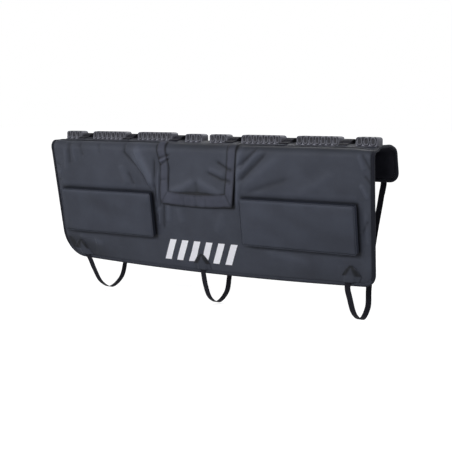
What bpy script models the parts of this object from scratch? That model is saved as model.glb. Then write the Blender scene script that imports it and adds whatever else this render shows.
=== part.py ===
"""Padded cover that hangs over the top edge of a pickup's rear door and carries six bicycles.

Frame: X runs along the door, the long front panel faces -Y, +Z is up. The origin is the middle
of the flat seat under the crown, where the lining rests on the door's top edge. Metres.
"""
import math

import bmesh
import bpy
from mathutils import Matrix, Vector
from mathutils.geometry import interpolate_bezier

OBJECT_NAME = "tailgate_pad"

# Overall shape of the folded pad, measured on its outer face
PAD_WIDTH = 1.60
FOLD_DEPTH = 0.195
CROWN_RISE = 0.046
CROWN_FLAT = 0.060
FRONT_DROP = 0.500
FRONT_LEAN = 0.14
SIDE_TAPER = 0.041
BOTTOM_BULGE = 0.018
BACK_DROP = 0.100
BACK_FLARE = 0.16
CORNER_LEFT = 0.110
CORNER_RIGHT = 0.042
CORNER_BACK = 0.035

# Layers of the padding, and the clearance between pieces that touch
COVER_THICKNESS = 0.0020
FOAM_THICKNESS = 0.0104
LINING_THICKNESS = 0.0020
FOAM_EDGE_INSET = 0.0020
LINING_CLEARANCE = 0.0012
GAP = 0.0003

# Tape folded round the whole edge
BINDING_WIDTH = 0.0105
BINDING_THICKNESS = 0.0012
BINDING_ROUND = 0.0035

# Padded panels that keep the bicycle frames off the paint
PANEL_ENDS_SPARE = 0.286
PANEL_INSET_LEFT = 0.048
PANEL_INSET_RIGHT = 0.0735
PANEL_TOP = 0.175
PANEL_HEIGHT = 0.189
PANEL_THICKNESS = 0.030
PANEL_EDGE_RADIUS = 0.010

# Access flap in the middle, open at its lower edge
FLAP_TOP_WIDTH = 0.405
FLAP_BOTTOM_WIDTH = 0.350
FLAP_DROP = 0.218
FLAP_THICKNESS = 0.0025
FLAP_PROUD = 0.014
HEM_SIDE = 0.040
HEM_BOTTOM = 0.052
HEM_THICKNESS = 0.0012
FASTENER_LENGTH = 0.240
FASTENER_WIDTH = 0.025
FASTENER_THICKNESS = 0.0015
FASTENER_DROP = 0.170

# Rubber blocks on the crown, laid out from the middle to each end
BASE_STRIP_THICKNESS = 0.0030
CENTRE_GAP = 0.042
STRAP_GAP = 0.0735
SHORT_BLOCK = 0.083
END_BLOCK = 0.086
END_MARGIN = 0.0235
BLOCK_DEPTH = 0.052
BLOCK_HEIGHT = 0.034
BLOCK_EDGE = 0.005
BLOCK_END_ROUND = 0.015
BLOCK_CORNER = 0.009
LUG_PITCH = 0.0262
LUG_GROOVE = 0.006
LUG_SHARES = (0.0, 0.12, 0.30, 0.70, 0.88)
BLOCK_CORNER_STEPS = 3
BLOCK_TOP_STEPS = 4

# Webbing
FRAME_STRAP_WIDTH = 0.040
FRAME_STRAP_THICKNESS = 0.0025
FRAME_STRAP_HUMP = 0.022
LOWER_STRAP_WIDTH = 0.025
LOWER_STRAP_THICKNESS = 0.0020
SLOT_INSET = 0.113
SLOT_MIDDLE = -0.012
SLOT_RISE = 0.046
OUTLET_WIDTH = 0.084
OUTLET_HEIGHT = 0.042
OUTLET_THICKNESS = 0.0015
STRAP_SLACK = 0.0010
LOOP_HANG = 0.135
LOOP_DEPTH = 0.130
REAR_SEAM_LENGTH = 0.045
REAR_TAB_HANG = 0.045

# How far each lower strap drifts along X from its slot: at the pad's lower edge, at its lowest
# point, on its way up behind the door, and at the back flap
STRAP_DRIFTS = {
    "left": (0.044, 0.090, 0.134, 0.150),
    "centre": (0.005, 0.024, 0.043, 0.060),
    "right": (-0.018, -0.008, -0.003, 0.048),
}

# Facets of the crown: each shoulder runs from its leg at 0 degrees to the flat top at 90
SHOULDER_STEPS = 7
STRIP_EDGE_STEP = 4
STRAP_END_STEP = 5
CORNER_STEPS = 6
MIDDLE_COLUMNS = 6

PADDING_DEPTH = COVER_THICKNESS + GAP + FOAM_THICKNESS
PAD_THICKNESS = PADDING_DEPTH + GAP + LINING_THICKNESS
LONG_BLOCK = (PAD_WIDTH / 2 - END_MARGIN - END_BLOCK - SHORT_BLOCK - CENTRE_GAP / 2
              - 3 * STRAP_GAP) / 2
SLOT_PLACES = {
    "left": SLOT_INSET - PAD_WIDTH / 2, "centre": SLOT_MIDDLE, "right": PAD_WIDTH / 2 - SLOT_INSET}
FOLD_Z = PAD_THICKNESS - CROWN_RISE
SHOULDER_DEPTH = (FOLD_DEPTH - CROWN_FLAT) / 2
LEAN_ANGLE = math.atan(FRONT_LEAN)
FRONT_NORMAL = Vector((0, -1, -FRONT_LEAN)).normalized()
BACK_NORMAL = Vector((0, 1, BACK_FLARE)).normalized()

COVER_COLOUR = (0.058, 0.063, 0.080, 1)
PANEL_COLOUR = (0.053, 0.058, 0.076, 1)
HEM_COLOUR = (0.035, 0.038, 0.051, 1)
LINING_COLOUR = (0.007, 0.007, 0.010, 1)
WEBBING_COLOUR = (0.011, 0.011, 0.016, 1)
RUBBER_COLOUR = (0.085, 0.088, 0.115, 1)
FOAM_COLOUR = (0.60, 0.60, 0.58, 1)


def clear_scene():
    for item in list(bpy.data.objects):
        bpy.data.objects.remove(item, do_unlink=True)


def make_collection(name):
    collection = bpy.data.collections.new(name)
    bpy.context.scene.collection.children.link(collection)
    return collection


def make_material(name, colour, roughness):
    material = bpy.data.materials.new(name)
    material.use_nodes = True
    shader = material.node_tree.nodes["Principled BSDF"]
    shader.inputs["Base Color"].default_value = colour
    shader.inputs["Roughness"].default_value = roughness
    shader.inputs["Metallic"].default_value = 0.0
    material.diffuse_color = colour
    return material


def add_object(name, shape, colour, roughness):
    mesh = bpy.data.meshes.new(name)
    shape.to_mesh(mesh)
    shape.free()
    piece = bpy.data.objects.new(name, mesh)
    piece.data.materials.append(make_material(name, colour, roughness))
    parts.objects.link(piece)
    return piece


def add_solidify(piece, thickness, side):
    """side -1 grows the sheet inwards from its face, 1 outwards, 0 both ways."""
    modifier = piece.modifiers.new("Thickness", "SOLIDIFY")
    modifier.thickness = thickness
    modifier.offset = side
    modifier.use_even_offset = True


def mapped_grid(columns, rows, place, keep=None):
    """A grid whose corner (i, j) goes to place(i, j); keep(i, j) says which cells stay."""
    shape = bmesh.new()
    bmesh.ops.create_grid(shape, x_segments=columns, y_segments=rows, size=1.0)
    spots = {}
    for vertex in shape.verts:
        i = round((vertex.co.x + 1) / 2 * columns)
        j = round((vertex.co.y + 1) / 2 * rows)
        spots[vertex] = (i, j)
    if keep:
        gone = []
        for face in shape.faces:
            i = min(spots[vertex][0] for vertex in face.verts)
            j = min(spots[vertex][1] for vertex in face.verts)
            if not keep(i, j):
                gone.append(face)
        bmesh.ops.delete(shape, geom=gone, context="FACES")
    for vertex in shape.verts:
        vertex.co = place(*spots[vertex])
    return shape


def corner_cut(distance, radius):
    """How far a rounded corner pulls the lower edge up, at this distance from the side."""
    if distance >= radius:
        return 0.0
    return radius - math.sqrt(radius ** 2 - (radius - distance) ** 2)


def front_edge_drop(across, inset=0.0):
    """Drop of a layer's lower edge in front, at -1 to 1 across, inset from the pad's edge."""
    radius = (CORNER_LEFT if across < 0 else CORNER_RIGHT) - inset
    distance = (1 - abs(across)) * (PAD_WIDTH / 2 - inset)
    return FRONT_DROP - inset - BOTTOM_BULGE * across ** 2 - corner_cut(distance, radius)


def back_edge_drop(across, inset=0.0):
    distance = (1 - abs(across)) * (PAD_WIDTH / 2 - inset)
    return BACK_DROP - inset - corner_cut(distance, CORNER_BACK - inset)


def front_point(x, drop, offset):
    """A point on the front panel, offset outwards from its outer face."""
    face = Vector((x, -FOLD_DEPTH / 2 + FRONT_LEAN * drop, FOLD_Z - drop))
    return face + FRONT_NORMAL * offset


def back_point(x, drop, offset):
    face = Vector((x, FOLD_DEPTH / 2 + BACK_FLARE * drop, FOLD_Z - drop))
    return face + BACK_NORMAL * offset


def shoulder_spot(side, step):
    """A corner of the curved shoulder: side -1 is the front, step counts up from the leg."""
    angle = math.radians(90) * step / SHOULDER_STEPS
    y = side * (CROWN_FLAT / 2 + SHOULDER_DEPTH * math.cos(angle))
    return Vector((0, y, FOLD_Z + CROWN_RISE * math.sin(angle)))


def facet_normal(side, step):
    """Outward normal of the facet above a step: the leg lies below step 0, the flat on top."""
    if step < 0:
        return FRONT_NORMAL if side < 0 else BACK_NORMAL
    if step >= SHOULDER_STEPS:
        return Vector((0, 0, 1))
    along = shoulder_spot(side, step + 1) - shoulder_spot(side, step)
    return Vector((0, side * along.z, -side * along.y)).normalized()


def shoulder_point(x, side, step, offset):
    """A shoulder corner moved outwards so that both facets beside it move by the offset."""
    lower = facet_normal(side, step - 1)
    upper = facet_normal(side, step)
    mitre = (lower + upper) / (1 + lower.dot(upper))
    return Vector((x, 0, 0)) + shoulder_spot(side, step) + mitre * offset


def pad_rows():
    """Rows of the folded pad, from the front panel's lower edge to the back flap's."""
    rows = [("front", 1.0), ("front", 0.5)]
    rows += [("front shoulder", step) for step in range(SHOULDER_STEPS + 1)]
    rows += [("back shoulder", step) for step in range(SHOULDER_STEPS, -1, -1)]
    rows += [("back", 1.0)]
    return rows


def pad_columns():
    """Places across the pad from -1 to 1, close together where the corners are round."""
    half = PAD_WIDTH / 2
    angles = [math.radians(90) * step / CORNER_STEPS for step in range(CORNER_STEPS + 1)]
    left = [-1 + CORNER_LEFT * (1 - math.cos(angle)) / half for angle in angles]
    right = [1 - CORNER_RIGHT * (1 - math.cos(angle)) / half for angle in reversed(angles)]
    span = (right[0] - left[-1]) / MIDDLE_COLUMNS
    middle = [left[-1] + span * step for step in range(1, MIDDLE_COLUMNS)]
    return left + middle + right


ROWS = pad_rows()
COLUMNS = pad_columns()


def pad_point(across, row, offset, inset=0.0):
    """A point of the folded pad at a row and a place across, offset outwards from its face."""
    kind, value = row
    half = PAD_WIDTH / 2 - inset
    if kind == "front":
        drop = value * front_edge_drop(across, inset)
        return front_point(across * (half - SIDE_TAPER * drop), drop, offset)
    if kind == "back":
        return back_point(across * half, value * back_edge_drop(across, inset), offset)
    side = -1 if kind == "front shoulder" else 1
    return shoulder_point(across * half, side, value, offset)


def pad_layer(name, depth, thickness, inset, colour, roughness):
    """One layer of the padding, whose outer face lies this deep under the pad's outer face."""
    shape = mapped_grid(
        len(COLUMNS) - 1, len(ROWS) - 1,
        lambda i, j: pad_point(COLUMNS[i], ROWS[j], -depth, inset))
    piece = add_object(name, shape, colour, roughness)
    add_solidify(piece, thickness, -1)
    return piece


def make_padding():
    """Cover and foam under the edge tape, and a lining that ends where the tape begins."""
    pad_layer("outer_cover", 0.0, COVER_THICKNESS, 0.0, COVER_COLOUR, 0.55)
    pad_layer("foam_padding", COVER_THICKNESS + GAP, FOAM_THICKNESS, FOAM_EDGE_INSET,
              FOAM_COLOUR, 0.9)
    pad_layer("inner_lining", PADDING_DEPTH + GAP, LINING_THICKNESS,
              BINDING_WIDTH + LINING_CLEARANCE, LINING_COLOUR, 0.95)


def edge_stations():
    """The pad's edge as places and rows, once round, starting at the lower left corner."""
    last = len(ROWS) - 1
    stations = [(across, ROWS[0]) for across in COLUMNS]
    stations += [(COLUMNS[-1], ROWS[j]) for j in range(1, last)]
    stations += [(across, ROWS[last]) for across in reversed(COLUMNS)]
    stations += [(COLUMNS[0], ROWS[j]) for j in range(last - 1, 0, -1)]
    return stations


def make_edge_binding():
    """Tape folded round the edge: its section is walked round the pad's edge."""
    stations = edge_stations()
    count = len(stations)
    under = -PADDING_DEPTH - GAP
    section = [
        (BINDING_WIDTH, GAP), (0.0, GAP),
        (-BINDING_ROUND, -PADDING_DEPTH / 4), (-BINDING_ROUND, -PADDING_DEPTH * 3 / 4),
        (0.0, under), (BINDING_WIDTH, under),
    ]
    faces = [pad_point(across, row, 0.0) for across, row in stations]
    lifted = [pad_point(across, row, 1.0) for across, row in stations]
    shape = bmesh.new()
    rings = []
    for k in range(count):
        normal = lifted[k] - faces[k]
        along = (faces[(k + 1) % count] - faces[k - 1]).normalized()
        inwards = normal.cross(along).normalized()
        ring = [shape.verts.new(faces[k] + inwards * e + normal * n) for e, n in section]
        rings.append(ring)
    for k in range(count):
        ring, following = rings[k], rings[(k + 1) % count]
        for m in range(len(section) - 1):
            shape.faces.new((ring[m], following[m], following[m + 1], ring[m + 1]))
    bmesh.ops.recalc_face_normals(shape, faces=shape.faces)
    piece = add_object("edge_binding", shape, HEM_COLOUR, 0.6)
    add_solidify(piece, BINDING_THICKNESS, outward_side(piece, stations))
    return piece


def outward_side(piece, stations):
    """Which way Solidify has to grow the open tape so that it grows away from the pad."""
    first = piece.data.polygons[0]
    across, row = stations[0]
    outwards = pad_point(across, row, 1.0) - pad_point(across, row, 0.0)
    return 1 if first.normal.dot(outwards) > 0 else -1


def box_on_front(name, x, drop, length, height, thickness, colour, roughness):
    """A slab flat on the front panel, with the middle of its back at x and drop."""
    shape = bmesh.new()
    size = Matrix.Diagonal((length, thickness, height, 1))
    bmesh.ops.create_cube(shape, size=1.0, matrix=size)
    piece = add_object(name, shape, colour, roughness)
    piece.location = front_point(x, drop, GAP + thickness / 2)
    piece.rotation_euler.x = LEAN_ANGLE
    return piece


def add_bevel(piece, width, segments):
    modifier = piece.modifiers.new("Rounded edges", "BEVEL")
    modifier.width = width
    modifier.segments = segments


def make_impact_panels():
    length = PAD_WIDTH / 2 - PANEL_ENDS_SPARE
    for name, side, inset in (("left_impact_panel", -1, PANEL_INSET_LEFT),
                              ("right_impact_panel", 1, PANEL_INSET_RIGHT)):
        panel = box_on_front(
            name, side * (PAD_WIDTH / 2 - inset - length / 2), PANEL_TOP + PANEL_HEIGHT / 2,
            length, PANEL_HEIGHT, PANEL_THICKNESS, PANEL_COLOUR, 0.55)
        add_bevel(panel, PANEL_EDGE_RADIUS, 3)


def flap_rise(share):
    """How far the flap stands off the front panel, at a share of its drop."""
    eased = share * share * (3 - 2 * share)
    return GAP + FLAP_PROUD * eased


def flap_half_width(drop):
    share = max(0.0, drop) / FLAP_DROP
    return FLAP_TOP_WIDTH / 2 + (FLAP_BOTTOM_WIDTH - FLAP_TOP_WIDTH) / 2 * share


# Rows of the flap: down the shoulder from the base strip's edge, then down the front panel
FLAP_SHOULDER_STEPS = list(range(STRIP_EDGE_STEP, -1, -1))
FLAP_PANEL_ROWS = 6
HEM_TOP_SHARE = 1 - HEM_BOTTOM / FLAP_DROP


def flap_shares():
    """Shares of the flap's drop for its rows, with one row on the hem's upper edge."""
    above = [HEM_TOP_SHARE * step / FLAP_PANEL_ROWS for step in range(1, FLAP_PANEL_ROWS + 1)]
    return above + [(HEM_TOP_SHARE + 1) / 2, 1.0]


def flap_point(row, across, inset, offset):
    """A point of the flap, offset from its inner face; inset counts in from its side."""
    if row < len(FLAP_SHOULDER_STEPS):
        step = FLAP_SHOULDER_STEPS[row]
        x = across * (FLAP_TOP_WIDTH / 2 - inset)
        slack = GAP if row == 0 else 0.0
        point = shoulder_point(x, -1, step, GAP + offset)
        return point - Vector((0, 0, slack))
    drop = flap_shares()[row - len(FLAP_SHOULDER_STEPS)] * FLAP_DROP
    x = across * (flap_half_width(drop) - inset)
    return front_point(x, drop, flap_rise(drop / FLAP_DROP) + offset)


def make_centre_flap():
    rows = len(FLAP_SHOULDER_STEPS) + len(flap_shares()) - 1
    places = (-1.0, -0.5, 0.0, 0.5, 1.0)
    shape = mapped_grid(
        len(places) - 1, rows,
        lambda i, j: flap_point(rows - j, places[i], 0.0, 0.0))
    flap = add_object("centre_flap", shape, COVER_COLOUR, 0.55)
    add_solidify(flap, FLAP_THICKNESS, 1)


def make_flap_hem():
    """Band sewn on the flap along both sides and the lower edge."""
    rows = len(FLAP_SHOULDER_STEPS) + len(flap_shares()) - 1
    places = ((-1.0, 0.0), (-1.0, HEM_SIDE), (-0.5, HEM_SIDE), (0.0, 0.0),
              (0.5, HEM_SIDE), (1.0, HEM_SIDE), (1.0, 0.0))
    hem_rows = 2

    def place(i, j):
        across, inset = places[i]
        return flap_point(rows - j, across, inset, FLAP_THICKNESS + GAP)

    def on_hem(i, j):
        return j < hem_rows or i in (0, len(places) - 2)

    shape = mapped_grid(len(places) - 1, rows, place, on_hem)
    hem = add_object("flap_hem_band", shape, HEM_COLOUR, 0.6)
    add_solidify(hem, HEM_THICKNESS, 1)


def make_flap_fasteners():
    """Hook tape on the cover and loop tape on the flap's back, which close the flap."""
    box_on_front(
        "flap_hook_tape", 0.0, FASTENER_DROP, FASTENER_LENGTH, FASTENER_WIDTH,
        FASTENER_THICKNESS, WEBBING_COLOUR, 0.9)
    lower = len(FLAP_SHOULDER_STEPS) + len(flap_shares()) - 1
    places = (-1.0, -0.5, 0.0, 0.5, 1.0)

    def place(i, j):
        point = flap_point(lower - 2 + j, 0.0, 0.0, -GAP)
        point.x = places[i] * FASTENER_LENGTH / 2
        return point

    shape = mapped_grid(len(places) - 1, 1, place)
    tape = add_object("flap_loop_tape", shape, WEBBING_COLOUR, 0.9)
    add_solidify(tape, FASTENER_THICKNESS, 1)


def make_base_strip():
    """Strip over the crown that carries the blocks and the frame straps."""
    steps = range(STRIP_EDGE_STEP, SHOULDER_STEPS + 1)
    rows = [(-1, step) for step in steps] + [(1, step) for step in reversed(steps)]
    half = PAD_WIDTH / 2 - BINDING_WIDTH - GAP
    shape = mapped_grid(
        1, len(rows) - 1,
        lambda i, j: shoulder_point(half * (2 * i - 1), *rows[j], GAP))
    strip = add_object("bumper_base_strip", shape, COVER_COLOUR, 0.5)
    add_solidify(strip, BASE_STRIP_THICKNESS, 1)


def block_outline(length):
    """Outline of a block from above: round lugs with grooves between, and rounded ends."""
    lugs = max(1, round(length / LUG_PITCH))
    pitch = (length - 2 * BLOCK_CORNER) / lugs
    reach = BLOCK_DEPTH / 2 - LUG_GROOVE
    lug_line = []
    for lug in range(lugs):
        for share in LUG_SHARES:
            x = -length / 2 + BLOCK_CORNER + (lug + share) * pitch
            groove = LUG_GROOVE * (1 - math.sin(math.pi * share)) ** 3
            lug_line.append((x, BLOCK_DEPTH / 2 - groove))
    lug_line = lug_line[1:]
    end_arc = []
    for step in range(BLOCK_CORNER_STEPS + 1):
        angle = math.radians(90) * step / BLOCK_CORNER_STEPS
        end_arc.append((length / 2 - BLOCK_CORNER * (1 - math.sin(angle)),
                        reach - BLOCK_CORNER * (1 - math.cos(angle))))
    back = lug_line + end_arc
    front = [(x, -y) for x, y in reversed(back)]
    left_end = [(-x, -y) for x, y in end_arc] + [(-x, y) for x, y in reversed(end_arc)]
    return back + front + left_end


def loft(levels):
    """A closed body through rings of equal count, capped at both ends."""
    shape = bmesh.new()
    rings = [[shape.verts.new(point) for point in level] for level in levels]
    count = len(rings[0])
    for lower, upper in zip(rings, rings[1:]):
        for k in range(count):
            following = (k + 1) % count
            shape.faces.new((lower[k], lower[following], upper[following], upper[k]))
    shape.faces.new(rings[0])
    shape.faces.new(rings[-1])
    bmesh.ops.recalc_face_normals(shape, faces=shape.faces)
    return shape


def rounded_inset(height, radius):
    """How far a side rounded at the block's top edge is drawn in at this height."""
    rise = min(radius, max(0.0, height - (BLOCK_HEIGHT - radius)))
    return radius - math.sqrt(radius ** 2 - rise ** 2)


def make_block(name, x, length):
    """A block with straight sides, a softly rounded top edge and rounder ends."""
    base = PAD_THICKNESS + BASE_STRIP_THICKNESS + 2 * GAP
    outline = block_outline(length)
    angles = [math.radians(90) * step / BLOCK_TOP_STEPS for step in range(BLOCK_TOP_STEPS + 1)]
    heights = [BLOCK_HEIGHT - BLOCK_END_ROUND * (1 - math.sin(angle)) for angle in angles]
    levels = []
    for height in [0.0] + heights:
        narrow = 1 - 2 * rounded_inset(height, BLOCK_END_ROUND) / length
        thin = 1 - 2 * rounded_inset(height, BLOCK_EDGE) / BLOCK_DEPTH
        levels.append([(px * narrow, py * thin, base + height) for px, py in outline])
    block = add_object(name, loft(levels), RUBBER_COLOUR, 0.45)
    block.location.x = x


def block_layout():
    """Middle and length of each block, and middle of each strap gap, from left to right."""
    spans = []
    gaps = []
    edge = CENTRE_GAP / 2
    for length in (SHORT_BLOCK, LONG_BLOCK, LONG_BLOCK, END_BLOCK):
        spans.append((edge + length / 2, length))
        edge += length
        gaps.append(edge + STRAP_GAP / 2)
        edge += STRAP_GAP
    gaps.pop()
    blocks = [(-x, length) for x, length in reversed(spans)] + spans
    return blocks, [-x for x in reversed(gaps)] + gaps


def smooth_route(points, steps):
    """A smooth curve through the points, whose bends suit the length of each stretch."""
    slopes = [(b - a).normalized() for a, b in zip(points, points[1:])]
    lengths = [(b - a).length for a, b in zip(points, points[1:])]
    headings = [slopes[0]]
    for k in range(1, len(slopes)):
        before, after = lengths[k - 1], lengths[k]
        headings.append((slopes[k - 1] * after + slopes[k] * before) / (before + after))
    headings.append(slopes[-1])
    route = [points[0]]
    for k, length in enumerate(lengths):
        first = points[k] + headings[k] * length / 3
        second = points[k + 1] - headings[k + 1] * length / 3
        route += interpolate_bezier(points[k], first, second, points[k + 1], steps + 1)[1:]
    return route


def along_route(route, k):
    before = route[max(0, k - 1)]
    after = route[min(len(route) - 1, k + 1)]
    return (after - before).normalized()


def ribbon(name, route, width, thickness, lift, colour):
    """Flat webbing along a route, its width along X, lifted to the left of the way it runs."""
    def place(i, j):
        along = along_route(route, j)
        across = (Vector((1, 0, 0)) - along * along.x).normalized()
        outwards = across.cross(along)
        return route[j] + across * width * (i - 0.5) + outwards * lift

    shape = mapped_grid(1, len(route) - 1, place)
    strap = add_object(name, shape, colour, 0.75)
    add_solidify(strap, thickness, 0)


def make_frame_strap(name, x):
    """Short webbing bridge over the crown, sewn to the base strip front and back."""
    lift = 2 * GAP + BASE_STRIP_THICKNESS + FRAME_STRAP_THICKNESS / 2
    seat = PAD_THICKNESS + lift
    foot = [shoulder_point(x, -1, step, lift) for step in range(STRAP_END_STEP, SHOULDER_STEPS)]
    inner = CROWN_FLAT / 2
    rise = [Vector((x, -inner * 0.75, seat + FRAME_STRAP_HUMP * 0.45)),
            Vector((x, -inner * 0.35, seat + FRAME_STRAP_HUMP - FRAME_STRAP_THICKNESS * 2)),
            Vector((x, 0.0, seat + FRAME_STRAP_HUMP - FRAME_STRAP_THICKNESS))]
    front = foot + rise
    back = [Vector((x, -point.y, point.z)) for point in reversed(front[:-1])]
    ribbon(name, front + back, FRAME_STRAP_WIDTH, FRAME_STRAP_THICKNESS, 0.0, WEBBING_COLOUR)


def make_crown():
    make_base_strip()
    blocks, gaps = block_layout()
    for number, (x, length) in enumerate(blocks, 1):
        make_block(f"bumper_block_{number}", x, length)
    for number, x in enumerate(gaps, 1):
        make_frame_strap(f"frame_strap_{number}", x)


def slot_drop(slot_x):
    return front_edge_drop(slot_x / (PAD_WIDTH / 2)) - SLOT_RISE


def lower_strap_route(slot_x, drifts):
    """From the slot down over the lower edge, round a slack loop and up to the back flap."""
    seat = GAP + LOWER_STRAP_THICKNESS / 2
    over_tape = seat + BINDING_THICKNESS + 2 * GAP + STRAP_SLACK
    edge_x, low_x, rise_x, back_x = (slot_x + drift for drift in drifts)
    edge_drop = slot_drop(slot_x) + SLOT_RISE
    tape_drop = edge_drop - BINDING_WIDTH
    edge = front_point(edge_x, edge_drop + BINDING_ROUND + BINDING_THICKNESS, over_tape)
    low = edge.z - LOOP_HANG
    middle_y = edge.y + LOOP_DEPTH / 2
    back_end = BACK_DROP + BINDING_ROUND + BINDING_THICKNESS
    return [
        front_point(slot_x, slot_drop(slot_x) - OUTLET_HEIGHT / 4, seat),
        front_point(slot_x, slot_drop(slot_x) + 0.004, seat),
        front_point(slot_x * 0.35 + edge_x * 0.65, tape_drop - 0.006, over_tape),
        edge,
        Vector((edge_x * 0.7 + low_x * 0.3, edge.y - 0.004, edge.z - LOOP_HANG * 0.35)),
        Vector((edge_x * 0.3 + low_x * 0.7, edge.y + 0.010, edge.z - LOOP_HANG * 0.78)),
        Vector((low_x, middle_y, low)),
        Vector((low_x * 0.5 + rise_x * 0.5, edge.y + LOOP_DEPTH - 0.008,
                edge.z - LOOP_HANG * 0.72)),
        Vector((rise_x, edge.y + LOOP_DEPTH, edge.z - LOOP_HANG * 0.25)),
        Vector((rise_x * 0.7 + back_x * 0.3, edge.y + LOOP_DEPTH, edge.z + FRONT_DROP * 0.25)),
        back_point(back_x, back_end + REAR_TAB_HANG, over_tape),
        back_point(back_x, back_end, over_tape),
        back_point(back_x, BACK_DROP - BINDING_WIDTH - 0.004, over_tape),
        back_point(back_x, BACK_DROP - REAR_SEAM_LENGTH, seat),
    ]


ROUTE_STEPS = 4
TAB_POINTS = 4


def make_lower_straps():
    for side, drifts in STRAP_DRIFTS.items():
        slot_x = SLOT_PLACES[side]
        points = lower_strap_route(slot_x, drifts)
        ribbon(f"lower_strap_{side}", smooth_route(points, ROUTE_STEPS), LOWER_STRAP_WIDTH,
               LOWER_STRAP_THICKNESS, 0.0, WEBBING_COLOUR)
        rear = smooth_route(points, ROUTE_STEPS)[-ROUTE_STEPS * (TAB_POINTS - 1) - 1:]
        ribbon(f"rear_tab_{side}", rear, LOWER_STRAP_WIDTH, LOWER_STRAP_THICKNESS,
               -LOWER_STRAP_THICKNESS - GAP, WEBBING_COLOUR)
        make_strap_outlet(f"strap_outlet_{side}", slot_x)


def make_strap_outlet(name, x):
    """Arched patch sewn over the slot: it stands up where the webbing comes out."""
    half = OUTLET_WIDTH / 2
    clear = LOWER_STRAP_WIDTH / 2 + 2 * GAP
    shoulder = clear + 0.008
    places = (-half * 0.97, -shoulder - 0.006, -shoulder, -clear, 0.0,
              clear, shoulder, shoulder + 0.006, half * 0.97)
    rows = 4

    def place(i, j):
        side = places[i]
        height = OUTLET_HEIGHT * math.sqrt(1 - (side / half) ** 2) * (0.25 + 0.75 * j / rows)
        lift = GAP
        if abs(side) <= clear * 1.001 and j < rows:
            lift = LOWER_STRAP_THICKNESS + 2 * GAP
        return front_point(x + side, slot_drop(x) + OUTLET_HEIGHT / 4 - height, lift)

    shape = mapped_grid(len(places) - 1, rows, place)
    outlet = add_object(name, shape, HEM_COLOUR, 0.6)
    add_solidify(outlet, OUTLET_THICKNESS, 1)


clear_scene()
parts = make_collection(OBJECT_NAME)
make_padding()
make_edge_binding()
make_impact_panels()
make_centre_flap()
make_flap_hem()
make_flap_fasteners()
make_crown()
make_lower_straps()
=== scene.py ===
"""Looks of the rear door protector: a padded cover with rubber blocks on its crown.

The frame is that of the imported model: X runs along the door, the front panel faces -Y, +Z is up,
and the origin is the middle of the seat under the crown. Metres. A place on the folded cover is
given as (x, s): s is the length along the fold, 0 where the front leg meets the shoulder,
negative down the front panel and positive over the crown to the back flap.
"""
import math

import bmesh
import bpy
import numpy as np
from mathutils import Matrix, Vector, noise
from mathutils.geometry import interpolate_bezier


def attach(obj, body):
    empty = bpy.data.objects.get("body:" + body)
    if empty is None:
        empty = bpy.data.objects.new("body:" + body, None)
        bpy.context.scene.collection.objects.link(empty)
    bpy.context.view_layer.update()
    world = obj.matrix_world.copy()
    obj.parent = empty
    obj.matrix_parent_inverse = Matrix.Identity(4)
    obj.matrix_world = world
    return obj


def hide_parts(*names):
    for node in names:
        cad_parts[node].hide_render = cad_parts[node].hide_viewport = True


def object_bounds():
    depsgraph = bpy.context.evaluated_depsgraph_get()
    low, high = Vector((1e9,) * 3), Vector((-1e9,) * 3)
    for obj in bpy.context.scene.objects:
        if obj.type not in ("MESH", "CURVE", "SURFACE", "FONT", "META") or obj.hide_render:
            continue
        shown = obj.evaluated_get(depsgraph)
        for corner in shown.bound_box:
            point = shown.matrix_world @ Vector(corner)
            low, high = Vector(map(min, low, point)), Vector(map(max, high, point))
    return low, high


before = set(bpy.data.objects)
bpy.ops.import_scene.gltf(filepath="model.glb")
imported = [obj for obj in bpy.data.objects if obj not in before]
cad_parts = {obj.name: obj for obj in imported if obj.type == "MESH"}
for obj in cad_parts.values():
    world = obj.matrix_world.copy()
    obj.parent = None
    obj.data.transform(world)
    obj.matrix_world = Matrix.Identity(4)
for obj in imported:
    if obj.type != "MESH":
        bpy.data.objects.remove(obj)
cad_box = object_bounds()

# Sizes of the part's source, but for the blocks' lengths, the bridges' hump, the loops and the back
# flap's flare, which are fitted to the photograph
PAD_WIDTH = 1.60
FOLD_DEPTH = 0.195
CROWN_RISE = 0.046
CROWN_FLAT = 0.060
FRONT_DROP = 0.500
FRONT_LEAN = 0.14
SIDE_TAPER = 0.041
BOTTOM_BULGE = 0.018
BACK_DROP = 0.100
BACK_FLARE = 0.20
CORNER_LEFT = 0.110
CORNER_RIGHT = 0.042
CORNER_BACK = 0.035
COVER_THICKNESS = 0.0020
FOAM_THICKNESS = 0.0104
LINING_THICKNESS = 0.0020
FOAM_EDGE_INSET = 0.0020
GAP = 0.0003
BINDING_WIDTH = 0.0105
BINDING_THICKNESS = 0.0012
BINDING_ROUND = 0.0035
PANEL_LENGTH = 0.514
PANEL_MIDDLES = {"left": -0.495, "right": 0.4695}
PANEL_TOP = 0.175
PANEL_HEIGHT = 0.189
PANEL_THICKNESS = 0.030
FLAP_TOP_WIDTH = 0.405
FLAP_BOTTOM_WIDTH = 0.350
FLAP_DROP = 0.218
FLAP_THICKNESS = 0.0025
FLAP_PROUD = 0.014
HEM_SIDE = 0.040
HEM_BOTTOM = 0.052
BASE_STRIP_THICKNESS = 0.0030
STRIP_EDGE_ANGLE = math.radians(90 * 4 / 7)
BLOCK_DEPTH = 0.052
BLOCK_HEIGHT = 0.034
BLOCK_EDGE = 0.005
BLOCK_END_ROUND = 0.011
BLOCK_CORNER = 0.005
BLOCK_SINK = 0.0085
CROWN_SAG = 0.0045
LUG_PITCH = 0.0275
LUG_GROOVE = 0.006
LUG_POINTS = 22
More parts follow.
